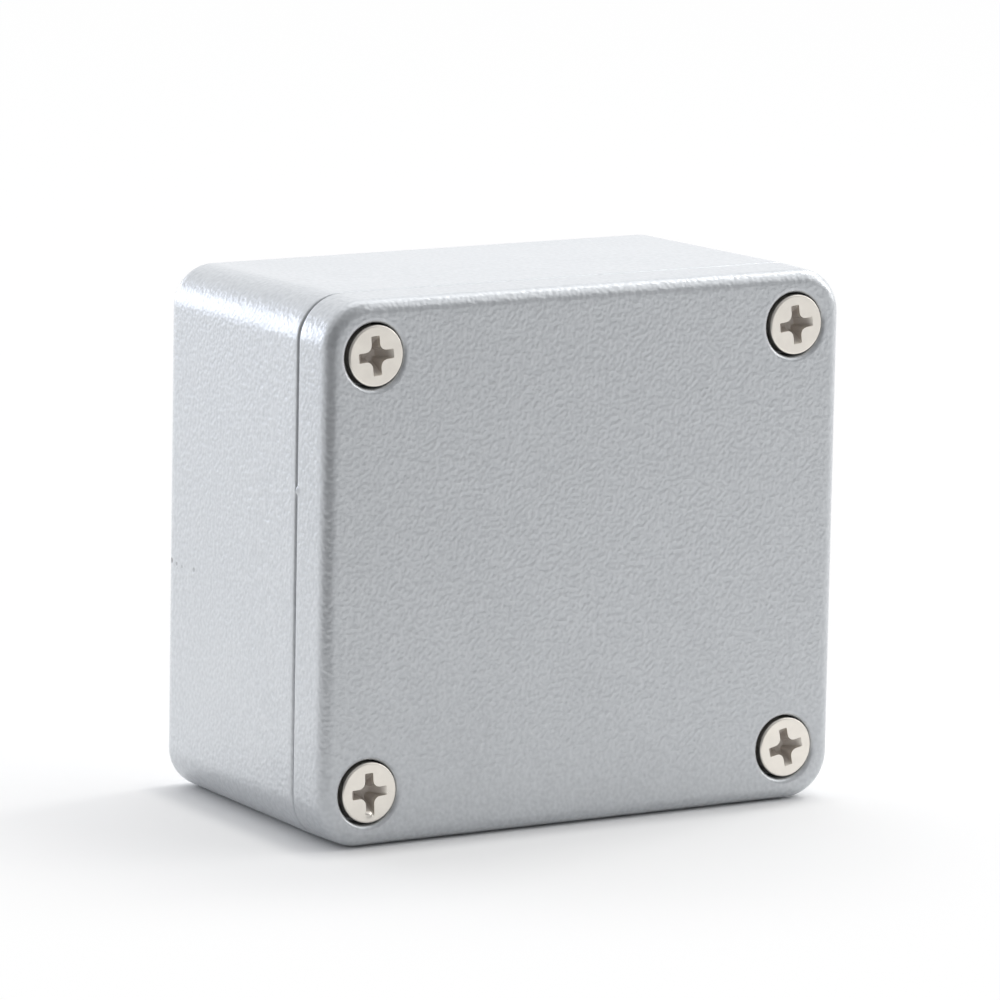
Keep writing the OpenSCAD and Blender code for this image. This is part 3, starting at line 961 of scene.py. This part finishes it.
def base_skin(sizes, screws):
    """Surface of the base: walls, back, rim with its tongue, cavity with its bosses, and all holes."""
    skin = Skin("grain", "bare", "tap", "edge")
    pitch = FINE_PITCH["base"]
    rim_z = base_rim(sizes)
    lean = math.tan(sizes.draft)
    back, rim = skin.sweep(plan_outline(sizes, pitch), section([
        (-lean * rim_z - FILLET_ROOM * sizes.back_edge_r, 0, 0, 1),
        (-lean * rim_z, 0, sizes.back_edge_r, BACK_EDGE_GRAIN),
        (-lean * RIM_ROOM * sizes.rim_r, rim_z - RIM_ROOM * sizes.rim_r, 0, 1),
        (0, rim_z, sizes.rim_r, RIM_GRAIN),
        (-FLAT_ROOM * sizes.rim_r, rim_z),
    ], pitch))
    half = sizes.tongue_w / 2
    inner = -half - lean * (rim_z - sizes.floor_t)
    foot, floor = skin.sweep(track_outline(sizes, screws, TRACK_PITCH), section([
        (half + LAND, rim_z),
        (half, rim_z, LAND_ROUND),
        (half, rim_z + sizes.tongue_h, TONGUE_ROUND),
        (-half, rim_z + sizes.tongue_h, TONGUE_ROUND),
        (inner, sizes.floor_t, sizes.floor_fillet_r, INNER_GRAIN),
        (inner - sizes.floor_fillet_r, sizes.floor_t, 0, INNER_GRAIN),
    ], WALL_PITCH))
    bottom = above_back(SCREWS_HIGH.y) - sizes.tap_runout
    taps = [tapped_hole(skin, centre, sizes.tap_r, rim_z, bottom) for centre in screw_places(sizes, screws)]
    channels, holes = [], []
    hole = sizes.mount_hole_r - sizes.mount_channel_r
    for centre in mount_places(sizes, screws):
        channel, mouth = skin.sweep(round_outline(centre, sizes.mount_channel_r, HOLE_STEPS), section([
            (LAND, rim_z),
            (0, rim_z, LAND_ROUND),
            (0, sizes.mount_seat_t),
            (hole, sizes.mount_seat_t, CHANNEL_ROUND),
            (hole, 0, TONGUE_ROUND, MOUTH_GRAIN),
            (hole + FLAT_ROOM * TONGUE_ROUND, 0, 0, 1),
        ], HOLE_PITCH))
        channels.append(channel)
        holes.append(mouth)
    boss_top = above_back(WASHER_HIGH.y)
    root_r = lean * (boss_top - sizes.floor_t)
    bottom = sizes.boss_blind_t + DRILL_POINT * sizes.tap_r
    roots = []
    x = sizes.boss_pitch / 2
    for centre, cut in (((x, 0), 0), ((-x, 0), 0), (earth_place(), 1)):
        root, top = skin.sweep(round_outline(centre, sizes.boss_d / 2, HOLE_STEPS), section([
            (root_r, sizes.floor_t),
            (0, boss_top, BOSS_ROUND),
            (-FLAT_ROOM * BOSS_ROUND, boss_top),
        ], HOLE_PITCH))
        roots.append(root)
        tap = tapped_hole(skin, centre, sizes.tap_r, boss_top, bottom)
        skin.plate(top, [tap], BOSS_TOP_PITCH, True, bare=cut)
    skin.plate(rim, [foot, *taps, *channels], INNER_PITCH, True)
    skin.plate(floor, roots, INNER_PITCH, True, grain=INNER_GRAIN)
    skin.plate(back, holes, BACK_PITCH, False, grain=1.0)
    bridge_paint(skin, sizes, 1)
    return skin


def lid_skin(sizes, screws):
    """Surface of the lid: face, drafted edge, counterbores, and the groove, rib and panel underneath."""
    skin = Skin("grain", "bare", "tap", "edge")
    pitch = FINE_PITCH["lid"]
    rim_z, face_z = sizes.lid_start, sizes.depth
    lean = math.tan(sizes.draft)
    half = sizes.groove_w / 2
    rib = -half - sizes.rib_t
    panel_z = face_z - sizes.panel_t
    inner = rib - lean * (panel_z - rim_z)
    panel, under = skin.sweep(track_outline(sizes, screws, TRACK_PITCH), section([
        (inner - PANEL_ROOM * sizes.panel_fillet_r, panel_z, 0, INNER_GRAIN),
        (inner, panel_z, sizes.panel_fillet_r, INNER_GRAIN),
        (rib, rim_z, LID_ROUND),
        (-half, rim_z, LID_ROUND),
        (-half, rim_z + sizes.groove_d, GROOVE_ROUND),
        (half, rim_z + sizes.groove_d, GROOVE_ROUND),
        (half, rim_z, LID_ROUND),
        (half + FLAT_ROOM * LID_ROUND, rim_z),
    ], INNER_PITCH))
    top = -lean * (face_z - rim_z)
    edge_r = sizes.lid_edge_r
    edge, face = skin.sweep(plan_outline(sizes, pitch), section([
        (-FLAT_ROOM * sizes.rim_r, rim_z),
        (0, rim_z, sizes.rim_r, RIM_GRAIN),
        (-lean * RIM_ROOM * sizes.rim_r, rim_z + RIM_ROOM * sizes.rim_r, 0, 1),
        (top + lean * FILLET_ROOM * edge_r, face_z - FILLET_ROOM * edge_r, 0, 1),
        (top, face_z, edge_r, LID_EDGE_GRAIN),
        (top - edge_r, face_z, 0, LID_EDGE_GRAIN),
    ], pitch))
    seat_z = above_back(SCREWS_LOW.y) - screws.head_h
    lip = sizes.counterbore_lip_r
    hole = sizes.lid_hole_r - sizes.counterbore_r
    mouths, holes = [], []
    for x, y in screw_places(sizes, screws):
        bore = round_outline((x - sizes.screw_shift, y), sizes.counterbore_r, MOUTH_STEPS)
        mouth, bottom = skin.sweep(bore, section([
            (LIP_ROOM * lip, face_z, 0, 1),
            (0, face_z, lip, MOUTH_GRAIN),
            (0, seat_z, SEAT_ROUND),
            (hole, seat_z),
            (hole, rim_z, LID_ROUND),
            (hole + FLAT_ROOM * LID_ROUND, rim_z),
        ], MOUTH_PITCH, LIP_STEPS))
        mouths.append(mouth)
        holes.append(bottom)
    skin.plate(face, mouths, pitch, True, grain=1.0)
    skin.plate(edge, [under, *holes], INNER_PITCH, False)
    skin.plate(panel, [], INNER_PITCH, False, grain=INNER_GRAIN)
    bridge_paint(skin, sizes, -1)
    return skin


def mark_edges(skin, z, sizes):
    """Marks the points close to the parting line, where the painted edge is uneven."""
    reach = EDGE_REACH * sizes.rim_r
    skin.marks["edge"] = [np.exp(-((points[:, 2] - z) / reach) ** 2) for points in skin.points]


def ring_section(outer, inner, low, high, soft, pitch):
    """Closed section of a ring, from the middle of its underside round by the outside."""
    middle = (outer + inner) / 2
    return section([(middle, low), (outer, low, soft), (outer, high, soft), (inner, high, soft),
                    (inner, low, soft), (middle, low)], pitch)[:-1]


def cast(name, skin, rim_z, node, body):
    """Turns the surface of a casting into a finished piece."""
    scene = bpy.context.scene
    look = scene.junction_finish
    mark_edges(skin, rim_z, scene.junction_casting)
    tree = bpy.data.node_groups.get("Hammered skin") or hammered_tree()
    piece = shape_by_nodes(name, skin.mesh(name), tree, {
        "Grain Size": look.grain_size, "Grain Depth": GRAIN_IN_SHAPE * look.grain_depth,
        "Waver": look.waver, "Material": finish("hammered_coat")})
    settle(piece, body, "hammer_paint", node)


class JUNCTION_OT_base(bpy.types.Operator):
    """Makes the painted base of the box"""

    bl_idname = "junction.base"
    bl_label = "Base"

    def execute(self, context):
        sizes, screws = context.scene.junction_casting, context.scene.junction_screws
        cast("base_casting", base_skin(sizes, screws), base_rim(sizes), "base", "housing")
        return {"FINISHED"}


class JUNCTION_OT_lid(bpy.types.Operator):
    """Makes the painted lid of the box"""

    bl_idname = "junction.lid"
    bl_label = "Lid"

    def execute(self, context):
        sizes, screws = context.scene.junction_casting, context.scene.junction_screws
        cast("lid_casting", lid_skin(sizes, screws), sizes.lid_start, "lid", "cover")
        return {"FINISHED"}


class JUNCTION_OT_gasket(bpy.types.Operator):
    """Makes the rubber seal in the groove of the lid"""

    bl_idname = "junction.gasket"
    bl_label = "Gasket"

    def execute(self, context):
        sizes, screws = context.scene.junction_casting, context.scene.junction_screws
        skin = Skin("grain")
        half = GASKET_HIGH.x - sizes.width / 2 + sizes.wall_t - sizes.tongue_w / 2
        low, high = above_back(GASKET_HIGH.y), above_back(GASKET_LOW.y)
        ring = ring_section(half, -half, low, high, GASKET_ROUND, GASKET_PITCH)
        first, last = skin.sweep(track_outline(sizes, screws, TRACK_PITCH), ring)
        skin.bridge(last, first)
        add_piece(skin, "seal_gasket", "matt_rubber", "cover", "seal_rubber", "gasket")
        return {"FINISHED"}


# Screws and washers

# Steps round a head, to a turn of thread, over a rounding of a head, round a corner of a cross and down it
HEAD_STEPS = 72
THREAD_STEPS = 7
HEAD_ROUND_STEPS = 7
CROSS_STEPS = 4
CROSS_LEVELS = 6
# Distance between points: over a head, on its flat top, on the top with the burr, and of the washers
HEAD_PITCH = 0.5 * MM
TOP_PITCH = 0.22 * MM
BURR_PITCH = 0.12 * MM
WASHER_PITCH = 0.4 * MM
# Shank: chamfer as a share of its radius, land on its tip, and neck without thread
CHAMFER = 0.25
TIP_LAND = 0.3 * MM
NECK = 0.4 * MM
# Head: roundings at the shank and round the seat, and room beside its rim as a share of the rim's rounding
NECK_ROUND = 0.2 * MM
SEAT_EDGE_ROUND = 0.1 * MM
HEAD_ROOM = 1.03
# Cross: how far span, arms and web narrow downwards, and rounding of an arm's end as a share of its width
CROSS_TAPER = (0.62, 0.25, 0.6)
ARM_ROUND = 0.125
# Depth of the cross's point as a share of its depth, and how fast the dirt and painted shade grow on the
# way down
CROSS_POINT = 1.15
DIRT_AND_SHADE_GROWTH = 3
# Slipped cut: the arm it lengthens, its least length and width as shares of the arm, and how it shortens
SLIPPED_ARM = 270
SLIP_LEAST = 0.28
SLIP_WIDTH = 0.3
SLIP_FADE = 0.6
# Burr: place across and along the arm, as shares of the arm's width and of its own size, and its stretch
BURR_ACROSS = 0.2
BURR_ALONG = 1.2
BURR_STRETCH = 1.5


def cross_outline(span, arm_w, web_r, slip=0.0, slip_w=0.0):
    """Outline of the cross recess, with the lower arm longer on one side where a driver slipped."""
    end, half, tip = span / 2, arm_w / 2, ARM_ROUND * arm_w
    step, reach = half - slip_w, end + slip - tip
    arcs = []
    for turn in QUARTERS:
        arm = [((end - tip, tip - half), tip, -90, 90)]
        if slip and turn == SLIPPED_ARM:
            arm += [((end + tip, step - tip), tip, 180, -90), ((reach, step + tip), tip, -90, 90),
                    ((reach, half - tip), tip, 0, 90)]
        else:
            arm.append(((end - tip, half - tip), tip, 0, 90))
        arm.append(((half + web_r, half + web_r), web_r, 270, -90))
        way = Matrix.Rotation(math.radians(turn), 2)
        for centre, radius, start, bend in arm:
            arcs.append((tuple(way @ Vector(centre)), radius, turn + start, bend))
    return chain(arcs, span, CROSS_STEPS, CROSS_STEPS)


def screw_mesh(name, shank_length, slip=False):
    """One screw, with its seat at z = 0, lying as it is drawn."""
    screws = bpy.context.scene.junction_screws
    skin = Skin("grain", "thread", "recess")
    around = round_outline((0, 0), screws.shank_r, HEAD_STEPS)
    chamfer = CHAMFER * screws.shank_r
    tip, neck = skin.sweep(around, section([
        (-chamfer - TIP_LAND, -shank_length),
        (-chamfer, -shank_length),
        (0, chamfer - shank_length),
        (0, -NECK),
    ], screws.thread_pitch / THREAD_STEPS), thread=1.0)
    edge = screws.head_r - screws.shank_r
    low, top = skin.sweep(around, section([
        (0, -NECK),
        (0, 0, NECK_ROUND),
        (edge, 0, SEAT_EDGE_ROUND),
        (edge, screws.head_h, screws.head_rim_r),
        (edge - HEAD_ROOM * screws.head_rim_r, screws.head_h),
    ], HEAD_PITCH, HEAD_ROUND_STEPS))
    skin.bridge(neck, low)
    skin.cap(tip, -shank_length, False)
    cross = (screws.cross_span, screws.cross_arm_w, screws.cross_web_r)
    rings = []
    for level in range(CROSS_LEVELS + 1):
        deep = level / CROSS_LEVELS
        span, arm, web = (size * (1 - taper * deep) for size, taper in zip(cross, CROSS_TAPER))
        slipped = max(SLIP_LEAST * arm, screws.slip_length * SLIP_FADE ** level)
        outline = cross_outline(span, arm, web, *((slipped, SLIP_WIDTH * arm) if slip else ()))
        level_z = screws.head_h - screws.cross_depth * deep
        # The recess mark grows with depth and carries dirt and painted shade
        rings.append(skin.ring(outline(), level_z, recess=min(1, DIRT_AND_SHADE_GROWTH * deep)))
    for first, second in zip(rings, rings[1:]):
        skin.bridge(first, second)
    skin.cap(rings[-1], screws.head_h - CROSS_POINT * screws.cross_depth, True, recess=1.0)
    skin.plate(top, [rings[0]], BURR_PITCH if slip else TOP_PITCH, True)
    if slip:
        burr_x = -BURR_ACROSS * screws.cross_arm_w
        burr_y = -screws.cross_span / 2 - BURR_ALONG * screws.burr_size
        burr = Vector((burr_x, burr_y))
        points = skin.points[-1]
        away = ((points[:, 0] - burr.x) / BURR_STRETCH) ** 2 + (points[:, 1] - burr.y) ** 2
        points[:, 2] += screws.burr_h * np.exp(-away / screws.burr_size ** 2)
    return skin.mesh(name, upright=False)


def screw_set(name, places, turns, slipped, shank_length, seat_z, material):
    """Object with a screw at each place, made by the screw tree."""
    screws = bpy.context.scene.junction_screws
    seeds = []
    for form in ("plain", "slipped"):
        mesh = screw_mesh(f"{name}_{form}", shank_length, form == "slipped")
        seeds.append(bpy.data.objects.new(mesh.name, mesh))
    points = bpy.data.meshes.new(name)
    points.from_pydata([(*centre, seat_z) for centre in places], [], [])
    for mark, values in (("turn", turns), ("slipped", slipped)):
        points.attributes.new(mark, "FLOAT", "POINT").data.foreach_set("value", values)
    tree = bpy.data.node_groups.get("Screw set") or screw_set_tree()
    made = shape_by_nodes(name, points, tree, {
        "Screw": seeds[0], "Slipped Screw": seeds[1], "Thread Pitch": screws.thread_pitch,
        "Thread Depth": screws.thread_depth, "Lift": (0, BOX_HIGH.y, MIDDLE_Z), "Material": material})
    for seed in seeds:
        bpy.data.objects.remove(seed)
    return made


class JUNCTION_OT_screws(bpy.types.Operator):
    """Makes the four lid screws and the earth screw"""

    bl_idname = "junction.screws"
    bl_label = "Screws"

    def execute(self, context):
        sizes, screws = context.scene.junction_casting, context.scene.junction_screws
        turns = [screws.turn_upper_right, screws.turn_upper_left,
                 screws.turn_lower_left, screws.turn_lower_right]
        seat_z = above_back(SCREWS_LOW.y) - screws.head_h
        lid_set = screw_set("lid_screw_set", screw_places(sizes, screws), turns, [0, 0, 1, 0],
                            seat_z - above_back(SCREWS_HIGH.y), seat_z, finish("nickel_plating"))
        settle(lid_set, "cover", "nickel_screw", "lid_screws")
        seat_z = above_back(EARTH_LOW.y) - screws.head_h
        earth = screw_set("earth_terminal_screw", [earth_place()], [0], [0],
                          seat_z - above_back(EARTH_HIGH.y), seat_z, finish("zinc_plating"))
        settle(earth, "housing", "zinc_plate", "earth_screw")
        return {"FINISHED"}


class JUNCTION_OT_washers(bpy.types.Operator):
    """Makes the plain washer and the spring washer of the earth terminal"""

    bl_idname = "junction.washers"
    bl_label = "Washers"

    def execute(self, context):
        screws = context.scene.junction_screws
        self.make(screws, "earth_terminal_washer", "earth_washer", WASHER_LOW, WASHER_HIGH, 0)
        self.make(screws, "earth_terminal_spring_washer", "earth_spring_washer", SPRING_LOW, SPRING_HIGH,
                  screws.spring_split)
        return {"FINISHED"}

    def make(self, screws, name, node, low, high, split):
        """One washer, closed or split."""
        outer = (high.z - low.z) / 2
        hole = screws.washer_hole_r - outer
        bottom, top = above_back(high.y), above_back(low.y)
        ring = ring_section(0, hole, bottom, top, screws.washer_edge_r, WASHER_PITCH)
        skin = Skin("grain", "recess")
        centre = np.array(earth_place())
        turns = np.linspace(split / 2, 2 * math.pi - split / 2, HEAD_STEPS + 1)
        sections = []
        for turn in turns if split else turns[:-1]:
            way = np.array([math.cos(turn), math.sin(turn)])
            points = np.array([[*(centre + (outer + offset) * way), z] for offset, z, _ in ring])
            sections.append(skin.add(points))
        for first, second in zip(sections, sections[1:]):
            skin.bridge(second, first)
        if split:
            skin.cap(sections[0], (bottom + top) / 2, True)
            skin.cap(sections[-1], (bottom + top) / 2, False)
        else:
            skin.bridge(sections[0], sections[-1])
        add_piece(skin, name, "zinc_plating", "housing", "zinc_plate", node)


# Stage

SENSOR_WIDTH = 36
FLOOR_HALF = 3.0
# Distances from the middle of the box over which the floor takes on the dark place, and its far glow
DARK_FLOOR = (0.06, 0.2)
FAR_FLOOR = (0.045, 0.085)
# Distances from the outline of the box over which the floor's glow comes up, as seen and as mirrored
SEEN_EDGE = (0.0, 0.004)
MIRRORED_EDGE = (0.0, 0.018)
# Backward shares of a direction over which the glow behind comes up, of the floor and of the room
FLOOR_BEHIND = (-0.2, 0.6)
ROOM_BEHIND = (-0.75, 0.55)
# Closeness of a direction to the dark place over which its shade comes up, and the dark place itself
SHADE_EDGE = (-0.4, 0.65)
DARK_EDGE = (0.52, 0.95)
# Lamps: name, place, width, height, brightness of its face, where 1 is white, and colour
LAMPS = [
    ("back_left_window", (-0.26, 0.62, 0.145), 0.5, 0.23, 2.2, (0.82, 0.87, 1.0)),
    ("overhead_softbox", (0.16, 0.16, 0.62), 0.5, 0.5, 0.7, (1.0, 1.0, 1.0)),
    ("right_key", (0.455, 0.105, 0.467), 0.12, 0.12, 18.0, (1.0, 0.99, 0.97)),
    ("right_softbox", (0.589, -0.125, 0.2435), 0.3, 0.3, 2.6, (1.0, 0.99, 0.97)),
    ("front_right_softbox", (0.376, -0.264, 0.46), 0.32, 0.32, 1.0, (1.0, 1.0, 1.0)),
]


def bare_tree(owner):
    """Empty node tree of a material or a room."""
    owner.use_nodes = True
    owner.node_tree.nodes.clear()
    return owner.node_tree


def beside_box(tree, where):
    """How far a point of the floor lies outside the outline of the box."""
    outside = vector_node(tree, "SUBTRACT", vector_node(tree, "ABSOLUTE", where), tuple(BOX_HIGH))
    return vector_node(tree, "LENGTH", vector_node(tree, "MAXIMUM", outside, (0, 0, 0)))


def studio_floor(stage):
    """Pale floor that keeps its shadows and looks white to the camera where it is lit.

    Towards the dark place of the room it is dark to all other rays, as where a table ends.
    """
    material = bpy.data.materials.new("studio_floor")
    tree = bare_tree(material)
    rays = add_node(tree, "ShaderNodeLightPath")
    camera, glossy = rays.outputs["Is Camera Ray"], rays.outputs["Is Glossy Ray"]
    unseen = math_node(tree, "SUBTRACT", 1.0, camera)
    where = own_place(tree)
    away = vector_node(tree, "LENGTH", where)
    way = vector_node(tree, "NORMALIZE", where)
    beyond = ease(tree, away, *DARK_FLOOR, 0.0, unseen)
    shaded = math_node(tree, "MULTIPLY", darkness(tree, way, stage), beyond)
    pale = blend(tree, shaded, opaque(stage.floor), opaque([stage.room_dark] * 3))
    matt = add_node(tree, "ShaderNodeBsdfDiffuse", {"Color": pale})
    behind = ranged(tree, camera, stage.back_glow, 1.0)
    strength = ease(tree, apart(tree, way)["Y"], *FLOOR_BEHIND, 1.0, behind)
    white = add_node(tree, "ShaderNodeEmission", {"Color": (1, 1, 1, 1), "Strength": strength})
    off = beside_box(tree, where)
    plain = ease(tree, away, *FAR_FLOOR, stage.floor_glow, stage.far_glow)
    seen = math_node(tree, "MULTIPLY", camera, ease(tree, off, *SEEN_EDGE, 0.0, plain))
    glow = ease(tree, off, *MIRRORED_EDGE, 0.0, ranged(tree, shaded, stage.mirror_glow, 0.0))
    share = math_node(tree, "MAXIMUM", seen, math_node(tree, "MULTIPLY", glossy, glow))
    both = add_node(tree, "ShaderNodeMixShader", {0: share, 1: matt.outputs[0], 2: white.outputs[0]})
    add_node(tree, "ShaderNodeOutputMaterial", {"Surface": both.outputs[0]})
    return material


def way_to(azimuth, elevation):
    """Direction from the box, by its turn from the face of the lid and its height."""
    flat = math.cos(elevation)
    return Vector((math.sin(azimuth) * flat, -math.cos(azimuth) * flat, math.sin(elevation)))


def darkness(tree, way, stage):
    """How dark the room is in a direction: fully at the dark place, and a little in the shade round it."""
    near = vector_node(tree, "DOT_PRODUCT", way, way_to(stage.dark_azimuth, stage.dark_elevation))
    shade = ease(tree, near, *SHADE_EDGE, 0.0, stage.room_shade)
    return math_node(tree, "MAXIMUM", shade, ease(tree, near, *DARK_EDGE, 0.0, 1.0))


def studio_room(stage):
    """White room that is darker in front, with one dark place, and plain white to the camera."""
    world = bpy.data.worlds.new("studio_room")
    tree = bare_tree(world)
    way = add_node(tree, "ShaderNodeTexCoord").outputs["Generated"]
    light = ease(tree, apart(tree, way)["Y"], *ROOM_BEHIND, stage.room_front, stage.room_back)
    dark = ranged(tree, darkness(tree, way, stage), light, stage.room_dark)
    rays = add_node(tree, "ShaderNodeLightPath")
    level = math_node(tree, "MAXIMUM", dark, rays.outputs["Is Camera Ray"])
    glow = add_node(tree, "ShaderNodeBackground", {"Color": opaque(stage.room_tint), "Strength": level})
    add_node(tree, "ShaderNodeOutputWorld", {"Surface": glow.outputs[0]})
    return world


def add_lamp(name, where, width, height, brightness, tint):
    """Lamp that faces the middle of the box."""
    lamp = bpy.data.lights.new(name, "AREA")
    lamp.shape = "RECTANGLE"
    lamp.size = width
    lamp.size_y = height
    lamp.color = tint
    lamp.energy = brightness * math.pi * width * height
    made = bpy.data.objects.new(name, lamp)
    made.location = where
    made.rotation_euler = (Vector((0, 0, MIDDLE_Z)) - Vector(where)).to_track_quat("-Z", "Y").to_euler()
    made.visible_camera = False
    bpy.context.scene.collection.objects.link(made)


class JUNCTION_OT_stage(bpy.types.Operator):
    """Makes the floor, the lamps, the room and the camera"""

    bl_idname = "junction.stage"
    bl_label = "Stage"

    def execute(self, context):
        scene = context.scene
        stage, sizes = scene.junction_stage, scene.junction_casting
        scene.view_settings.view_transform = "Standard"
        scene.world = studio_room(stage)
        self.floor(scene, stage, sizes)
        for lamp in LAMPS:
            add_lamp(*lamp)
        self.camera(scene, stage)
        return {"FINISHED"}

    def floor(self, scene, stage, sizes):
        """The box rests on its drafted wall, so the floor follows that wall from the rim backwards."""
        rim_y = above_back(base_rim(sizes))
        rise = math.tan(sizes.draft)
        low, high = -FLOOR_HALF, FLOOR_HALF
        flat = [(low, low), (high, low), (high, high), (low, high)]
        corners = [(x, y, (y - rim_y) * rise) for x, y in flat]
        mesh = bpy.data.meshes.new("studio_floor")
        mesh.from_pydata(corners, [], [(0, 1, 2, 3)])
        mesh.materials.append(studio_floor(stage))
        made = bpy.data.objects.new("studio_floor", mesh)
        scene.collection.objects.link(made)

    def camera(self, scene, stage):
        """Camera at the photograph's viewing angle."""
        camera = bpy.data.cameras.new("camera")
        camera.sensor_width = SENSOR_WIDTH
        camera.lens = stage.lens
        back = way_to(stage.azimuth, stage.elevation)
        right = Vector((0, 0, 1)).cross(back).normalized()
        turn = Matrix((right, back.cross(right), back)).transposed().to_4x4()
        made = bpy.data.objects.new("camera", camera)
        made.matrix_world = (Matrix.Translation(Vector(stage.target) + back * stage.distance) @ turn
                             @ Matrix.Rotation(stage.roll, 4, "Z"))
        scene.collection.objects.link(made)
        scene.camera = made


class JUNCTION_PT_panel(bpy.types.Panel):
    """Lists the steps that dress the box"""

    bl_idname = "JUNCTION_PT_panel"
    bl_label = "Junction Box"
    bl_space_type = "VIEW_3D"
    bl_region_type = "UI"
    bl_category = "Junction Box"

    def draw(self, context):
        for operator in OPERATORS:
            self.layout.operator(operator.bl_idname)


OPERATORS = (JUNCTION_OT_stage, JUNCTION_OT_base, JUNCTION_OT_lid, JUNCTION_OT_gasket, JUNCTION_OT_screws,
             JUNCTION_OT_washers)
GROUPS = {"junction_casting": CastingSizes, "junction_screws": ScrewSizes, "junction_finish": FinishLook,
          "junction_stage": StageLook}


def register():
    """Registers the sizes, the operators and the panel."""
    for name, group in GROUPS.items():
        bpy.utils.register_class(group)
        setattr(bpy.types.Scene, name, PointerProperty(type=group))
    for operator in (*OPERATORS, JUNCTION_PT_panel):
        bpy.utils.register_class(operator)


def unregister():
    """Takes them back."""
    for operator in (*OPERATORS, JUNCTION_PT_panel):
        bpy.utils.unregister_class(operator)
    for name, group in GROUPS.items():
        delattr(bpy.types.Scene, name)
        bpy.utils.unregister_class(group)


def main():
    register()
    bpy.ops.junction.stage()
    bpy.ops.junction.base()
    bpy.ops.junction.lid()
    bpy.ops.junction.gasket()
    bpy.ops.junction.screws()
    bpy.ops.junction.washers()


if __name__ == "__main__":
    main()
